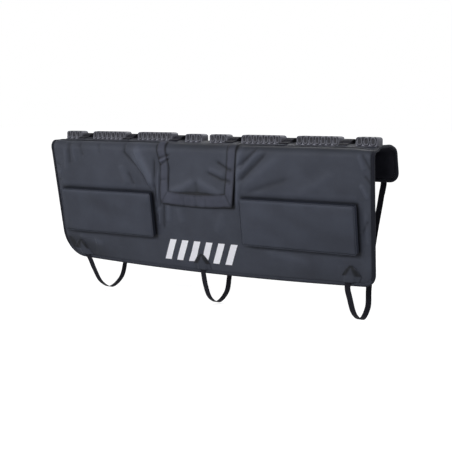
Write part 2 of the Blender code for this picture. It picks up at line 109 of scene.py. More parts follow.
# A lug's oval as shares of the pitch and of the block's height, and the facet between two ovals
LUG_HALF_WIDTH, LUG_MIDDLE, LUG_HALF_HEIGHT = 0.41, 0.54, 0.47
FACET_START, FACET_SLOPE = 1.08, 0.16
BLOCKS = ((0.0625, 0.091), (0.269, 0.191), (0.5255, 0.191), (0.7335, 0.094))
STRAP_GAPS = (0.14075, 0.39725, 0.65375)
FRAME_STRAP_WIDTH = 0.040
FRAME_STRAP_THICKNESS = 0.0025
FRAME_STRAP_HUMP = 0.017
FRAME_STRAP_ANGLE = math.radians(90 * 5 / 7)
LOWER_STRAP_WIDTH = 0.025
LOWER_STRAP_THICKNESS = 0.0020
SLOT_PLACES = {"left": -0.687, "centre": -0.012, "right": 0.687}
SLOT_RISE = 0.046
OUTLET_WIDTH = 0.084
OUTLET_HEIGHT = 0.042
OUTLET_THICKNESS = 0.0015
STRAP_SLACK = 0.0010
LOOP_HANGS = {"left": 0.135, "centre": 0.128, "right": 0.135}
LOOP_DEPTH = 0.130
REAR_SEAM_LENGTH = 0.045
REAR_TAB_HANG = 0.045
STRAP_DRIFTS = {
    "left": (0.044, 0.110, 0.142, 0.150),
    "centre": (0.005, 0.030, 0.045, 0.060),
    "right": (-0.018, 0.008, 0.005, 0.048),
}

PADDING_DEPTH = COVER_THICKNESS + GAP + FOAM_THICKNESS
PAD_THICKNESS = PADDING_DEPTH + GAP + LINING_THICKNESS
FOLD_Z = PAD_THICKNESS - CROWN_RISE
SHOULDER_DEPTH = (FOLD_DEPTH - CROWN_FLAT) / 2
FRONT_SLOPE = math.hypot(1, FRONT_LEAN)
BACK_SLOPE = math.hypot(1, BACK_FLARE)

# Name, place, target, width and height, and power of each lamp
LAMPS = (
    ("front", (0.0, -1.7, 0.42), (0, -0.05, -0.05), (2.4, 0.5), 24),
    ("left", (-2.3, -1.7, 0.7), (0, -0.05, -0.10), (0.6, 0.8), 12),
    ("right", (2.6, -0.5, 0.9), (0.2, 0, 0), (0.6, 0.8), 18),
    ("rear", (0.2, 1.9, 1.9), (0, 0, 0), (2.2, 0.8), 40),
)
AMBIENT = 0.14

# Camera fitted to the photograph
CAMERA_PLACE = (2.4641, -3.3964, 0.1427)
CAMERA_TURN = (math.pi / 2 - 0.1148, 0.0, 0.6109)
CAMERA_LENS = 80.91

# Colours, linear
COVER_COLOUR = (0.043, 0.048, 0.065)
PANEL_COLOUR = (0.040, 0.045, 0.062)
# Gusset walls of the pads: dark fabric deepened with painted shade, and a painted lighter tone for the right
# pad's right-facing walls
SHADED_WALL_COLOUR = (0.009, 0.011, 0.018)
LIT_SIDE_WALL_COLOUR = (0.026, 0.030, 0.044)
HEM_COLOUR = (0.0420, 0.0455, 0.0640)
BINDING_COLOUR = (0.0065, 0.0075, 0.0125)
LINING_COLOUR = (0.0160, 0.0165, 0.0230)
WEBBING_COLOUR = (0.0065, 0.0065, 0.0105)
STRIP_COLOUR = (0.022, 0.024, 0.034)
# Painted shade and painted highlight of the rubber blocks, mixed by their tone; the pale one also flecks the
# grain
RUBBER_DARK = (0.006, 0.006, 0.011)
RUBBER_LIGHT = (0.250, 0.253, 0.300)
THREAD_COLOUR = (0.018, 0.019, 0.026)
PRINT_COLOUR = (0.90, 0.90, 0.96)
FOAM_COLOUR = (0.48, 0.47, 0.43)
SKY_COLOUR = (0.93, 0.96, 1.0, 1)
FLOOR_COLOUR = (0.55, 0.55, 0.55, 1)

FLOOR_HALF = 30.0
# The floor's own glow goes from 0.74 at 1 m from the middle to 1 at 3.2 m
FLOOR_FADE = (1.0, 3.2, 0.74, 1.0)
THREAD_PITCH = 0.0012

# The printed bars: slant, pitch, share that is pale, and the middle and half size of their field
PRINT_SLANT = 0.42
PRINT_PITCH = 0.062
PRINT_BAR_SHARE = 0.52
PRINT_MIDDLE, PRINT_DROP = 0.163, 0.418
PRINT_HALF, PRINT_RISE = 0.175, 0.044


# Camera, light and floor

def add_object(name, data):
    piece = bpy.data.objects.new(name, data)
    bpy.context.scene.collection.objects.link(piece)
    return piece


def make_camera():
    data = bpy.data.cameras.new("camera")
    data.lens = CAMERA_LENS
    data.sensor_width = 36.0
    camera = add_object("camera", data)
    camera.location = CAMERA_PLACE
    camera.rotation_euler = CAMERA_TURN
    bpy.context.scene.camera = camera


def add_area_light(name, place, target, size, power):
    """size is the lamp's width and height."""
    data = bpy.data.lights.new(name, "AREA")
    data.shape = "RECTANGLE"
    data.size, data.size_y = size
    data.energy = power
    lamp = add_object(name, data)
    lamp.location = place
    lamp.rotation_euler = (Vector(target) - Vector(place)).to_track_quat("-Z", "Y").to_euler()


def make_world(ambient):
    world = bpy.data.worlds.new("world")
    tree = Tree(world)
    bpy.context.scene.world = world
    tree.nodes.clear()
    light = tree.node("Background", {"Color": SKY_COLOUR, "Strength": ambient})
    white = tree.node("Background", {"Color": (1, 1, 1, 1), "Strength": 1.0})
    both = tree.node("MixShader", {"Fac": tree.seen_directly(), 1: light[0], 2: white[0]})
    tree.node("OutputWorld", {"Surface": both[0]})


def make_floor(height):
    """A pale floor that keeps the object's shadow and turns white away from it."""
    mesh = bpy.data.meshes.new("floor")
    around = ((-1, -1), (1, -1), (1, 1), (-1, 1))
    mesh.from_pydata([(FLOOR_HALF * u, FLOOR_HALF * v, height) for u, v in around], [], [(0, 1, 2, 3)])
    material = bpy.data.materials.new("floor")
    tree = Tree(material)
    tree.nodes.clear()
    paint = tree.node("BsdfDiffuse", {"Color": FLOOR_COLOUR})
    place = tree.node("TexCoord", {})["Object"]
    distance = tree.node("VectorMath", {0: place}, operation="LENGTH")["Value"]
    fade = tree.ramp(distance, *FLOOR_FADE)
    glow = tree.node("Emission", {"Strength": tree.math("MULTIPLY", tree.seen_directly(), fade)})
    both = tree.node("AddShader", {0: paint[0], 1: glow[0]})
    tree.node("OutputMaterial", {"Surface": both[0]})
    mesh.materials.append(material)
    add_object("floor", mesh)


# Materials

class Tree:
    """The nodes of a material or world under construction, with short calls for them."""

    def __init__(self, owner):
        owner.use_nodes = True
        self.nodes = owner.node_tree.nodes
        self.links = owner.node_tree.links

    def put(self, target, value):
        if isinstance(value, bpy.types.NodeSocket):
            self.links.new(value, target)
        else:
            target.default_value = value

    def node(self, kind, inputs, **settings):
        """The outputs of a new node, whose inputs get these values or sockets."""
        node = self.nodes.new("ShaderNode" + kind)
        for name, value in settings.items():
            setattr(node, name, value)
        for key, value in inputs.items():
            self.put(node.inputs[key], value)
        return node.outputs

    def math(self, operation, a, b=0.0, c=0.0):
        return self.node("Math", {0: a, 1: b, 2: c}, operation=operation)[0]

    def ramp(self, factor, low, high, start=0.0, end=1.0):
        ends = {"From Min": low, "From Max": high, "To Min": start, "To Max": end}
        return self.node("MapRange", {"Value": factor, **ends}, clamp=True)["Result"]

    def seen_directly(self):
        """1 for rays from the camera, from gloss and through glass, else 0."""
        path = self.node("LightPath", {})
        first = self.math("MAXIMUM", path["Is Camera Ray"], path["Is Glossy Ray"])
        return self.math("MAXIMUM", first, path["Is Transmission Ray"])


class Finish(Tree):
    """A material under construction."""

    def __init__(self, name, roughness, specular):
        self.material = bpy.data.materials.new(name)
        super().__init__(self.material)
        self.shader = self.nodes["Principled BSDF"]
        self.roughness(roughness)
        self.put(self.shader.inputs["Specular IOR Level"], specular)

    def place(self, kind):
        """kind is UV, in metres on the flat cloth, or Object."""
        return self.node("TexCoord", {})[kind]

    def noise(self, vector, scale, detail, rough):
        values = {"Vector": vector, "Scale": scale, "Detail": detail, "Roughness": rough}
        return self.node("TexNoise", values)["Fac"]

    def bands(self, vector, pitch, direction):
        """Waves of this pitch in metres, running along X, Y or Z, or all over as DIAGONAL."""
        values = {"Vector": vector, "Scale": 2 * math.pi / (20 * pitch)}
        return self.node("TexWave", values, wave_type="BANDS", bands_direction=direction)["Fac"]

    def rgba(self, colour):
        return colour if isinstance(colour, bpy.types.NodeSocket) else (*colour, 1.0)

    def mix(self, factor, first, second):
        values = {"Factor": factor, 6: self.rgba(first), 7: self.rgba(second)}
        return self.node("Mix", values, data_type="RGBA")[2]

    def blend(self, factor, low, high, first, second, most=1.0):
        """From the first colour towards the second as the factor goes from low to high."""
        return self.mix(self.ramp(factor, low, high, 0.0, most), first, second)

    def attribute(self, name):
        return self.node("Attribute", {}, attribute_name=name)["Fac"]

    def colour(self, value):
        self.put(self.shader.inputs["Base Color"], self.rgba(value))

    def roughness(self, value):
        self.put(self.shader.inputs["Roughness"], value)

    def bump(self, height, distance, strength):
        values = {"Strength": strength, "Distance": distance, "Height": height}
        self.put(self.shader.inputs["Normal"], self.node("Bump", values)["Normal"])


def tinted(colour, factor):
    return tuple(min(1.0, c * factor) for c in colour)


def coated_fabric(name, colour, kind="UV", roughness=0.55):
    """Tightly woven fabric with a satin coat: fine threads, soft mottling and dull scuffs, with painted
    highlight and shade from per-point values.
    """
    finish = Finish(name, roughness, 0.16)
    place = finish.place(kind)
    warp = finish.bands(place, THREAD_PITCH, "X")
    weft = finish.bands(place, THREAD_PITCH, "Y" if kind == "UV" else "Z")
    weave = finish.math("MULTIPLY", warp, weft)
    cloudy = finish.noise(place, 9.0, 4.0, 0.55)
    fine = finish.noise(place, 160.0, 3.0, 0.6)
    tone = finish.blend(cloudy, 0.3, 0.7, tinted(colour, 0.88), tinted(colour, 1.12))
    tone = finish.blend(weave, 0.0, 1.0, tone, tinted(colour, 0.55), 0.14)
    tone = finish.blend(fine, 0.60, 0.85, tone, tinted(colour, 1.5), 0.25)
    # Painted light: per-point values above 0 paint a highlight into the colour, below 0 paint shade
    painted_light = finish.attribute("painted_light")
    tone = finish.blend(painted_light, 0.0, 1.0, tone, tinted(colour, 1.7), 0.8)
    finish.colour(finish.mix(finish.ramp(painted_light, -1.0, 0.0, 0.95, 0.0), tone, tinted(colour, 0.16)))
    finish.roughness(finish.ramp(fine, 0.2, 0.8, roughness - 0.07, roughness + 0.09))
    finish.bump(finish.math("MULTIPLY_ADD", fine, 0.6, weave), 0.00020, 0.7)
    return finish


def printed_fabric():
    """The cover's fabric with a plain row of pale slanted bars printed low on the front."""
    finish = coated_fabric("cover_fabric", COVER_COLOUR)
    base = finish.shader.inputs["Base Color"].links[0].from_socket
    place = finish.node("SeparateXYZ", {0: finish.place("UV")})
    slanted = finish.math("MULTIPLY_ADD", place[1], -PRINT_SLANT, place[0])
    phase = finish.math("DIVIDE", finish.math("ADD", slanted, 1.0), PRINT_PITCH)
    mask = finish.math("LESS_THAN", finish.math("FRACT", phase), PRINT_BAR_SHARE)
    for along, middle, half in ((slanted, PRINT_MIDDLE, PRINT_HALF), (place[1], -PRINT_DROP, PRINT_RISE)):
        distance = finish.math("ABSOLUTE", finish.math("ADD", along, -middle))
        mask = finish.math("MULTIPLY", mask, finish.math("LESS_THAN", distance, half))
    worn = finish.ramp(finish.noise(finish.place("UV"), 420.0, 4.0, 0.7), 0.30, 0.42, 0.72, 1.0)
    finish.colour(finish.mix(finish.math("MULTIPLY", mask, worn), base, PRINT_COLOUR))
    return finish.material


def woven_webbing(name, colour, roughness=0.72, worn=None):
    """Polyester webbing: ribs along it, a fine zigzag across, and a fuzzy dull surface.

    worn is the colour where the mesh's attribute of that name is 1.
    """
    finish = Finish(name, roughness, 0.12)
    place = finish.place("UV")
    ribs = finish.bands(place, 0.0022, "X")
    picks = finish.bands(place, 0.0012, "Y")
    twill = finish.bands(place, 0.0030, "DIAGONAL")
    height = finish.math("MULTIPLY_ADD", picks, 0.6, finish.math("MULTIPLY_ADD", twill, 0.3, ribs))
    fuzz = finish.noise(place, 900.0, 2.0, 0.6)
    tone = finish.blend(height, 0.2, 1.7, tinted(colour, 0.6), tinted(colour, 1.7))
    tone = finish.blend(fuzz, 0.55, 0.8, tone, tinted(colour, 2.4), 0.4)
    if worn:
        rubbed = finish.blend(height, 0.2, 1.7, worn, tinted(worn, 1.3))
        tone = finish.mix(finish.attribute("worn"), tone, rubbed)
    finish.colour(tone)
    finish.bump(finish.math("MULTIPLY_ADD", fuzz, 0.3, height), 0.00035, 0.8)
    return finish.material


def lining_fabric():
    """Soft black lining with a short nap."""
    finish = Finish("lining_fabric", 0.95, 0.06)
    place = finish.place("UV")
    nap = finish.noise(place, 700.0, 4.0, 0.7)
    cloudy = finish.noise(place, 14.0, 3.0, 0.5)
    tone = finish.blend(cloudy, 0.3, 0.7, tinted(LINING_COLOUR, 0.8), tinted(LINING_COLOUR, 1.3))
    finish.colour(finish.blend(nap, 0.5, 0.8, tone, tinted(LINING_COLOUR, 2.2), 0.5))
    finish.bump(nap, 0.0006, 0.6)
    return finish.material


def block_rubber():
    """Moulded rubber with a fine grain, its tone painting shade in the grooves and highlights on lugs, facets
    and edges.
    """
    finish = Finish("block_rubber", 0.50, 0.25)
    place = finish.place("Object")
    grain = finish.noise(place, 850.0, 4.0, 0.65)
    cloudy = finish.noise(place, 45.0, 3.0, 0.5)
    # The tone attribute is painted light: high values paint highlights on rims, facets and edges, low ones
    # paint shade in the grooves
    tone = finish.math("ADD", finish.attribute("tone"), finish.ramp(cloudy, 0.3, 0.7, -0.05, 0.05))
    colour = finish.blend(tone, 0.0, 1.0, RUBBER_DARK, RUBBER_LIGHT)
    finish.colour(finish.blend(grain, 0.55, 0.85, colour, RUBBER_LIGHT, 0.15))
    finish.roughness(finish.ramp(grain, 0.3, 0.7, 0.42, 0.60))
    finish.bump(grain, 0.00025, 0.7)
    return finish.material


def foam_material():
    finish = Finish("foam", 0.9, 0.2)
    cells = finish.noise(finish.place("Object"), 900.0, 2.0, 0.6)
    finish.colour(finish.blend(cells, 0.35, 0.65, tinted(FOAM_COLOUR, 0.75), FOAM_COLOUR))
    finish.bump(cells, 0.0005, 0.8)
    return finish.material


def hook_and_loop():
    """Black tape with a field of tiny hooks or loops."""
    finish = Finish("hook_and_loop", 0.9, 0.2)
    place = finish.place("Object")
    height = finish.math("MULTIPLY", finish.bands(place, 0.0015, "X"), finish.bands(place, 0.0015, "Z"))
    finish.colour(finish.blend(height, 0.1, 0.8, tinted(WEBBING_COLOUR, 0.5), tinted(WEBBING_COLOUR, 2.6)))
    finish.bump(height, 0.0008, 1.0)
    return finish.material


def thread():
    finish = Finish("thread", 0.6, 0.3)
    twist = finish.noise(finish.place("Object"), 1400.0, 2.0, 0.5)
    finish.colour(finish.blend(twist, 0.3, 0.7, tinted(THREAD_COLOUR, 0.7), tinted(THREAD_COLOUR, 1.8)))
    finish.bump(twist, 0.0002, 0.5)
    return finish.material


# Meshes

def add_mesh(name, points, faces, material, coordinates=None):
    """A smooth mesh; coordinates are its flat places in metres, one for each point."""
    mesh = bpy.data.meshes.new(name)
    mesh.from_pydata([tuple(p) for p in points], [], faces)
    mesh.shade_smooth()
    if coordinates is not None:
        flat = np.asarray(coordinates, float)
        corners = np.zeros(len(mesh.loops), np.int32)
        mesh.loops.foreach_get("vertex_index", corners)
        layer = mesh.uv_layers.new(name="flat")
        layer.data.foreach_set("uv", flat[corners].astype(np.float32).ravel())
    mesh.materials.append(material)
    return add_object(name, mesh)


def grid_faces(rows, columns, closed=False):
    """Quads of a grid of rows by columns points; closed joins the last column to the first."""
    faces = []
    for j in range(rows - 1):
        for i in range(columns if closed else columns - 1):
            k = (i + 1) % columns
            faces.append((j * columns + i, j * columns + k, (j + 1) * columns + k, (j + 1) * columns + i))
    return faces


def tube_faces(rings, corners, joined=False):
    """Faces of a tube of rings, joined into a loop or capped at both ends."""
    faces = grid_faces(rings, corners, closed=True)
    last = (rings - 1) * corners
    if joined:
        faces += [(last + k, last + (k + 1) % corners, (k + 1) % corners, k) for k in range(corners)]
    else:
        faces += [tuple(range(corners)), tuple(last + k for k in reversed(range(corners)))]
    return faces


def tube_flat(rings, corners, step, girth):
    """Flat places of a tube whose rings lie a step apart."""
    around, along = np.meshgrid(np.linspace(0, girth, corners), np.arange(rings) * step)
    return flat_places(around, along)


def flat_places(x, s):
    return np.stack([x, s], -1).reshape(-1, 2)


def add_sheet(name, x, s, offset, material):
    """An open sheet, from a grid of (x, s) places and how far each stands off the cover's face."""
    points = place_on(x, s, offset).reshape(-1, 3)
    return add_mesh(name, points, grid_faces(*x.shape), material, flat_places(x, s))


def add_thickness(piece, thickness, side):
    """side -1 grows the sheet inwards from its face, 1 outwards, 0 both ways."""
    modifier = piece.modifiers.new("Thickness", "SOLIDIFY")
    modifier.thickness = thickness
    modifier.offset = side


def dress(piece, slot, *nodes):
    """The piece rides on the one body and stands for its CAD nodes, which it hides; slot is not used."""
    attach(piece, "root")
    if nodes:
        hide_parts(*nodes)
    return piece


def set_values(piece, name, values):
    """A number for each point, which the material reads by this name."""
    layer = piece.data.attributes.new(name, "FLOAT", "POINT")
    layer.data.foreach_set("value", np.asarray(values, np.float32).ravel())


def shade_points(piece, values):
    """-1 to 1 for each point: painted highlight above 0, painted shade below 0."""
    set_values(piece, "painted_light", np.clip(values, -1, 1))


def run_lengths(points):
    """The length along a run of points at each of them."""
    return np.concatenate([[0], np.cumsum(np.linalg.norm(np.diff(points, axis=0), axis=1))])


def points_at(places, lengths, points):
    """Points of a run at these lengths along it."""
    return np.stack([np.interp(places, lengths, column) for column in points.T], 1)


def smooth_step(low, high, value):
    share = np.clip((value - low) / (high - low), 0.0, 1.0)
    return share * share * (3 - 2 * share)


def bell(distance, width):
    """1 at no distance, falling off on both sides over about this width."""
    return np.exp(-(distance / width) ** 2)


def seam_line(distance):
    """1 on and inside a seam, fading within a few millimetres beside it."""
    return bell(np.maximum(distance, 0), SEAM_REACH)


# The folded section, as a table of places and outward normals along its length

def section_table():
    step = 0.001
    front = [(-FOLD_DEPTH / 2 + FRONT_LEAN * d, FOLD_Z - d)
             for d in np.arange(FRONT_DROP + 0.06, 0, -step)]
    angles = np.linspace(0, math.pi / 2, 91)
    rising = [(-CROWN_FLAT / 2 - SHOULDER_DEPTH * math.cos(a), FOLD_Z + CROWN_RISE * math.sin(a))
              for a in angles]
    flat = [(y, FOLD_Z + CROWN_RISE) for y in np.arange(-CROWN_FLAT / 2 + step, CROWN_FLAT / 2, step)]
    falling = [(-y, z) for y, z in reversed(rising)]
    back = [(FOLD_DEPTH / 2 + BACK_FLARE * d, FOLD_Z - d) for d in np.arange(step, 0.16, step)]
    raw = np.array(front + rising + flat + falling + back)
    reach = 5
    weights = np.exp(-0.5 * (np.arange(-3 * reach, 3 * reach + 1) / reach) ** 2)
    weights /= weights.sum()
    line = raw.copy()
    for axis in (0, 1):
        smooth = np.convolve(raw[:, axis], weights, mode="valid")
        line[3 * reach:-3 * reach, axis] = smooth
    lengths = run_lengths(line)
    lengths -= lengths[len(front)]
    tangent = np.gradient(line, lengths, axis=0)
    tangent /= np.hypot(*tangent.T)[:, None]
    return lengths, line, np.stack([-tangent[:, 1], tangent[:, 0]], 1), len(front)


SECTION_S, SECTION_LINE, SECTION_NORMAL, SECTION_FOLD = section_table()
CROWN_STOP = int(np.argmin(np.abs(SECTION_LINE[SECTION_FOLD + 60:, 0] - FOLD_DEPTH / 2))) + SECTION_FOLD + 60
BACK_FOLD_S = SECTION_S[CROWN_STOP]
CROWN_MIDDLE_S = BACK_FOLD_S / 2


def crown_length(y):
    """Length along the fold of the crown's place at this y."""
    crown = slice(SECTION_FOLD, CROWN_STOP)
    return float(np.interp(y, SECTION_LINE[crown, 0], SECTION_S[crown]))


SAG_FRONT = (crown_length(-0.092), crown_length(-0.060))
SAG_BACK = (crown_length(0.092), crown_length(0.060))


def end_slump(x, s):
    """How the soft fold stands fuller or slumps at its two open ends."""
    return (0.007 * bell(s - 0.032, 0.024) * smooth_step(-0.72, -0.80, x)
            - 0.014 * bell(s - 0.086, 0.042) * smooth_step(-0.752, -0.797, x)
            - 0.008 * bell(s - BACK_FOLD_S * 0.22, 0.026) * smooth_step(0.70, 0.79, x))


def block_sag(x, s):
    """How deep the soft crown gives way under the blocks."""
    under = np.zeros(x.shape)
    for middle, length in BLOCKS:
        beside = np.abs(np.abs(x) - middle) - length / 2
        under = np.maximum(under, smooth_step(0.016, 0.002, beside))
    front = smooth_step(crown_length(-0.082), crown_length(-0.040), s)
    back = smooth_step(crown_length(0.072), crown_length(0.036), s)
    return BLOCK_SINK * under * front * back


def crown_sag(x):
    """How much lower the whole crown hangs from the middle to the right."""
    return CROWN_SAG * smooth_step(-0.19, -0.09, x)


def place_on(x, s, offset):
    """Points offset outwards from the cover's smooth face; arrays broadcast together."""
    x, s, offset = np.broadcast_arrays(*(np.asarray(value, float) for value in (x, s, offset)))
    squeeze = np.clip(1 + offset / PAD_THICKNESS, 0, 1)
    offset = offset + end_slump(x, s) - block_sag(x, s) * squeeze
    y, z = (np.interp(s, SECTION_S, line) + offset * np.interp(s, SECTION_S, normal)
            for line, normal in zip(SECTION_LINE.T, SECTION_NORMAL.T))
    over = smooth_step(*SAG_FRONT, s) * smooth_step(*SAG_BACK, s)
    return np.stack([x, y, z - crown_sag(x) * over], -1)


def corner_cut(distance, radius):
    distance = np.clip(distance, 0, radius)
    return radius - np.sqrt(np.maximum(0, radius ** 2 - (radius - distance) ** 2))


def front_edge_drop(across, inset=0.0):
    radius = np.where(across < 0, CORNER_LEFT, CORNER_RIGHT) - inset
    distance = (1 - np.abs(across)) * (PAD_WIDTH / 2 - inset)
    return FRONT_DROP - inset - BOTTOM_BULGE * across ** 2 - corner_cut(distance, radius)


def back_edge_drop(across, inset=0.0):
    distance = (1 - np.abs(across)) * (PAD_WIDTH / 2 - inset)
    return BACK_DROP - inset - corner_cut(distance, CORNER_BACK - inset)


def slot_drop(slot_x):
    return float(front_edge_drop(np.array(slot_x / (PAD_WIDTH / 2)))) - SLOT_RISE


def pad_columns(step, inset=0.0):
    """Places across the pad from -1 to 1, closer together in the rounded corners."""
    half = PAD_WIDTH / 2 - inset
    left = -1 + CORNER_LEFT * (1 - np.cos(np.linspace(0, math.pi / 2, max(6, int(0.17 / step))))) / half
    right = 1 - CORNER_RIGHT * (1 - np.cos(np.linspace(math.pi / 2, 0, max(5, int(0.07 / step))))) / half
    middle = np.linspace(left[-1], right[0], int((right[0] - left[-1]) * half / step))[1:-1]
    return np.concatenate([left, middle, right])


def pad_places(across, share, inset=0.0):
    """(x, s) of a row of the pad: share -1 to 0 is the front, 0 to 1 the crown, 1 to 2 the back."""
    half = PAD_WIDTH / 2 - inset
    drop = np.clip(-share, 0, 1) * front_edge_drop(across, inset)
    back = np.clip(share - 1, 0, 1) * back_edge_drop(across, inset)
    s = -drop * FRONT_SLOPE + np.clip(share, 0, 1) * BACK_FOLD_S + back * BACK_SLOPE
    return across * (half - SIDE_TAPER * drop), s


def pad_shares(step):
    front = np.linspace(-1, 0, int(FRONT_DROP / step) + 1)
    crown = np.linspace(0, 1, int(BACK_FOLD_S / step) + 1)[1:]
    back = np.linspace(1, 2, int(BACK_DROP / step) + 1)[1:]
    return np.concatenate([front, crown, back])


# Relief of the cover: puffed sections, folds and creases

# Each fold: points (x, drop), half width, height, and how much steeper its right side is, if it is
FOLDS = (
    (((-0.372, -0.03), (-0.374, 0.01), (-0.318, 0.062), (-0.284, 0.104), (-0.246, 0.168)), 0.007, -0.004),
    (((-0.3, -0.02), (-0.292, 0.03), (-0.258, 0.085), (-0.226, 0.15)), 0.03, 0.007, 1.6),
    (((-0.322, 0.005), (-0.288, 0.066), (-0.262, 0.128)), 0.007, -0.002),
    (((-0.363, 0.092), (-0.336, 0.152)), 0.009, -0.0025),
    (((-0.402, 0.06), (-0.372, 0.15)), 0.016, 0.0022),
    (((-0.694, -0.03), (-0.697, 0.072)), 0.01, -0.0024),
    (((-0.716, -0.01), (-0.722, 0.1)), 0.01, 0.0018),
    (((-0.632, -0.026), (-0.612, 0.034)), 0.009, -0.002),
    (((-0.668, -0.02), (-0.66, 0.06)), 0.009, 0.0014),
    (((-0.52, -0.028), (-0.515, 0.02)), 0.01, -0.0014),
    (((-0.785, 0.064), (-0.75, 0.078)), 0.006, -0.002),
    (((-0.785, 0.104), (-0.755, 0.108)), 0.007, 0.0022),
    (((-0.785, 0.138), (-0.758, 0.14)), 0.006, -0.0015),
    (((-0.213, 0.03), (-0.224, 0.12), (-0.224, 0.215)), 0.005, -0.0042),
    (((-0.196, 0.08), (-0.204, 0.15), (-0.214, 0.205)), 0.006, 0.0045),
    (((-0.186, 0.13), (-0.194, 0.19), (-0.206, 0.24)), 0.0045, -0.0035),
    (((-0.222, 0.262), (-0.224, 0.3)), 0.006, -0.0025),
    (((-0.209, 0.232), (-0.216, 0.312)), 0.0075, 0.0034),
    (((-0.183, 0.22), (-0.194, 0.33)), 0.006, -0.0036),
    (((-0.156, 0.22), (-0.163, 0.3)), 0.012, 0.0036),
    (((-0.11, 0.232), (-0.09, 0.3)), 0.016, 0.002),
    (((0.12, 0.24), (0.08, 0.33)), 0.018, 0.0018),
    (((0.236, -0.018), (0.218, 0.01), (0.206, 0.074), (0.192, 0.175), (0.19, 0.23)), 0.012, 0.005),
    (((0.204, 0.056), (0.268, 0.006), (0.3, -0.02)), 0.006, -0.0034),
    (((0.208, 0.084), (0.262, 0.036), (0.312, -0.01)), 0.01, 0.0036),
    (((0.2, 0.116), (0.29, 0.042), (0.345, -0.006)), 0.008, -0.0036),
    (((0.215, 0.14), (0.33, 0.06), (0.4, 0.01)), 0.018, 0.0022),
    (((0.235, 0.158), (0.34, 0.122), (0.44, 0.092)), 0.012, -0.002),
    (((0.47, 0.15), (0.56, 0.11), (0.64, 0.06)), 0.02, 0.0016),
    (((0.742, -0.01), (0.766, 0.052)), 0.008, 0.003, 1.4),
    (((0.756, -0.012), (0.79, 0.05)), 0.0055, -0.003),
    (((0.762, 0.068), (0.79, 0.1)), 0.006, -0.0028),
    (((0.746, 0.1), (0.774, 0.156)), 0.009, 0.0034, 1.2),
    (((0.742, 0.282), (0.768, 0.236)), 0.006, -0.0026),
    (((0.756, 0.206), (0.762, 0.33)), 0.008, 0.002),
    (((-0.69, 0.392), (-0.54, 0.42)), 0.014, 0.003),
    (((-0.755, 0.4), (-0.715, 0.446)), 0.01, -0.003),
    (((0.3, 0.385), (0.52, 0.42)), 0.015, 0.002),
)

FOLD_STRENGTH = 1.6
# Height of a fold at which its ridge gets the full painted highlight, and its valley the full painted shade
FOLD_PALE = 0.0055
FLAP_FOLD_PALE = 0.0042
PUFF_HEIGHT = 0.0045
PUFF_REACH = 0.022
SEAM_REACH = 0.004
# Under the flap the cover lies flat: x from and to, drop from and to
FLAP_HOLD = (-0.180, 0.168, -0.020, 0.130)
EDGE_STEP = 0.006


def panel_rectangle(middle):
    half = PANEL_LENGTH / 2
    return middle - half, middle + half, PANEL_TOP, PANEL_TOP + PANEL_HEIGHT


def held_places():
    """Where something is sewn on or runs over the cover: (x from, x to, drop from, drop to)."""
    places = [FLAP_HOLD] + [panel_rectangle(middle) for middle in PANEL_MIDDLES.values()]
    for side, x in SLOT_PLACES.items():
        ends = sorted((x, x + STRAP_DRIFTS[side][0]))
        places.append((ends[0] - OUTLET_WIDTH / 2, ends[1] + OUTLET_WIDTH / 2,
                       slot_drop(x) - 0.032, FRONT_DROP))
    return places


def outside_of(x, d, rectangle):
    """Distance outside a rectangle on the front panel, 0 within it."""
    left, right, top, bottom = rectangle
    dx = np.maximum(np.maximum(left - x, x - right), 0)
    dd = np.maximum(np.maximum(top - d, d - bottom), 0)
    return np.hypot(dx, dd)


def fold_height(x, d, line, width, height, skew=1.0):
    """A ridge or valley along a line of points, fading at both ends."""
    spans = [math.dist(a, b) for a, b in zip(line, line[1:])]
    total = sum(spans)
    best = np.full(x.shape, 1e9)
    signed = np.zeros(x.shape)
    share = np.zeros(x.shape)
    done = 0.0
    for (a, b), span in zip(zip(line, line[1:]), spans):
        ux, ud = (b[0] - a[0]) / span, (b[1] - a[1]) / span
        along = np.clip((x - a[0]) * ux + (d - a[1]) * ud, 0, span)
        px, pd = x - a[0] - along * ux, d - a[1] - along * ud
        distance = np.hypot(px, pd)
        nearer = distance < best
        best = np.where(nearer, distance, best)
        signed = np.where(nearer, np.sign(px * ud - pd * ux) * distance, signed)
        share = np.where(nearer, (done + along) / total, share)
        done += span
    reach = np.where(signed > 0, width / skew, width)
    ends = smooth_step(0, 0.22, share + 0.06) * smooth_step(0, 0.22, 1.06 - share)
    return height * bell(signed, reach) * ends


def cloth_noise(x, s, scale, seed):
    """Smooth noise over the flat cloth, from -1 to 1."""
    flat = [noise.noise((a * scale, b * scale, seed)) for a, b in zip(x.ravel(), s.ravel())]
    return np.array(flat).reshape(x.shape)


def edge_distance(x, s):
    """Distance in from the pad's edge on the front and the back."""
    d = -s / FRONT_SLOPE
    drop = np.maximum(d, 0)
    half = PAD_WIDTH / 2 - SIDE_TAPER * drop
    side = half - np.abs(x)
    across = np.clip(x / half, -1, 1)
    lower = front_edge_drop(across) - drop
    back = back_edge_drop(across) - (s - BACK_FOLD_S) / BACK_SLOPE
    return np.minimum(side, np.where(s < CROWN_MIDDLE_S, lower, back))


def all_folds(x, d, lines):
    return sum(fold_height(x, d, *fold) for fold in lines)


def strip_shadow(x, s):
    """Painted shadow on the shoulder under the crown's strip, most to the right."""
    below = np.maximum(crown_length(-STRIP_EDGE_Y) - s, 0)
    return (0.18 + 0.42 * smooth_step(-0.24, -0.06, x)) * smooth_step(0.046, 0.018, below)


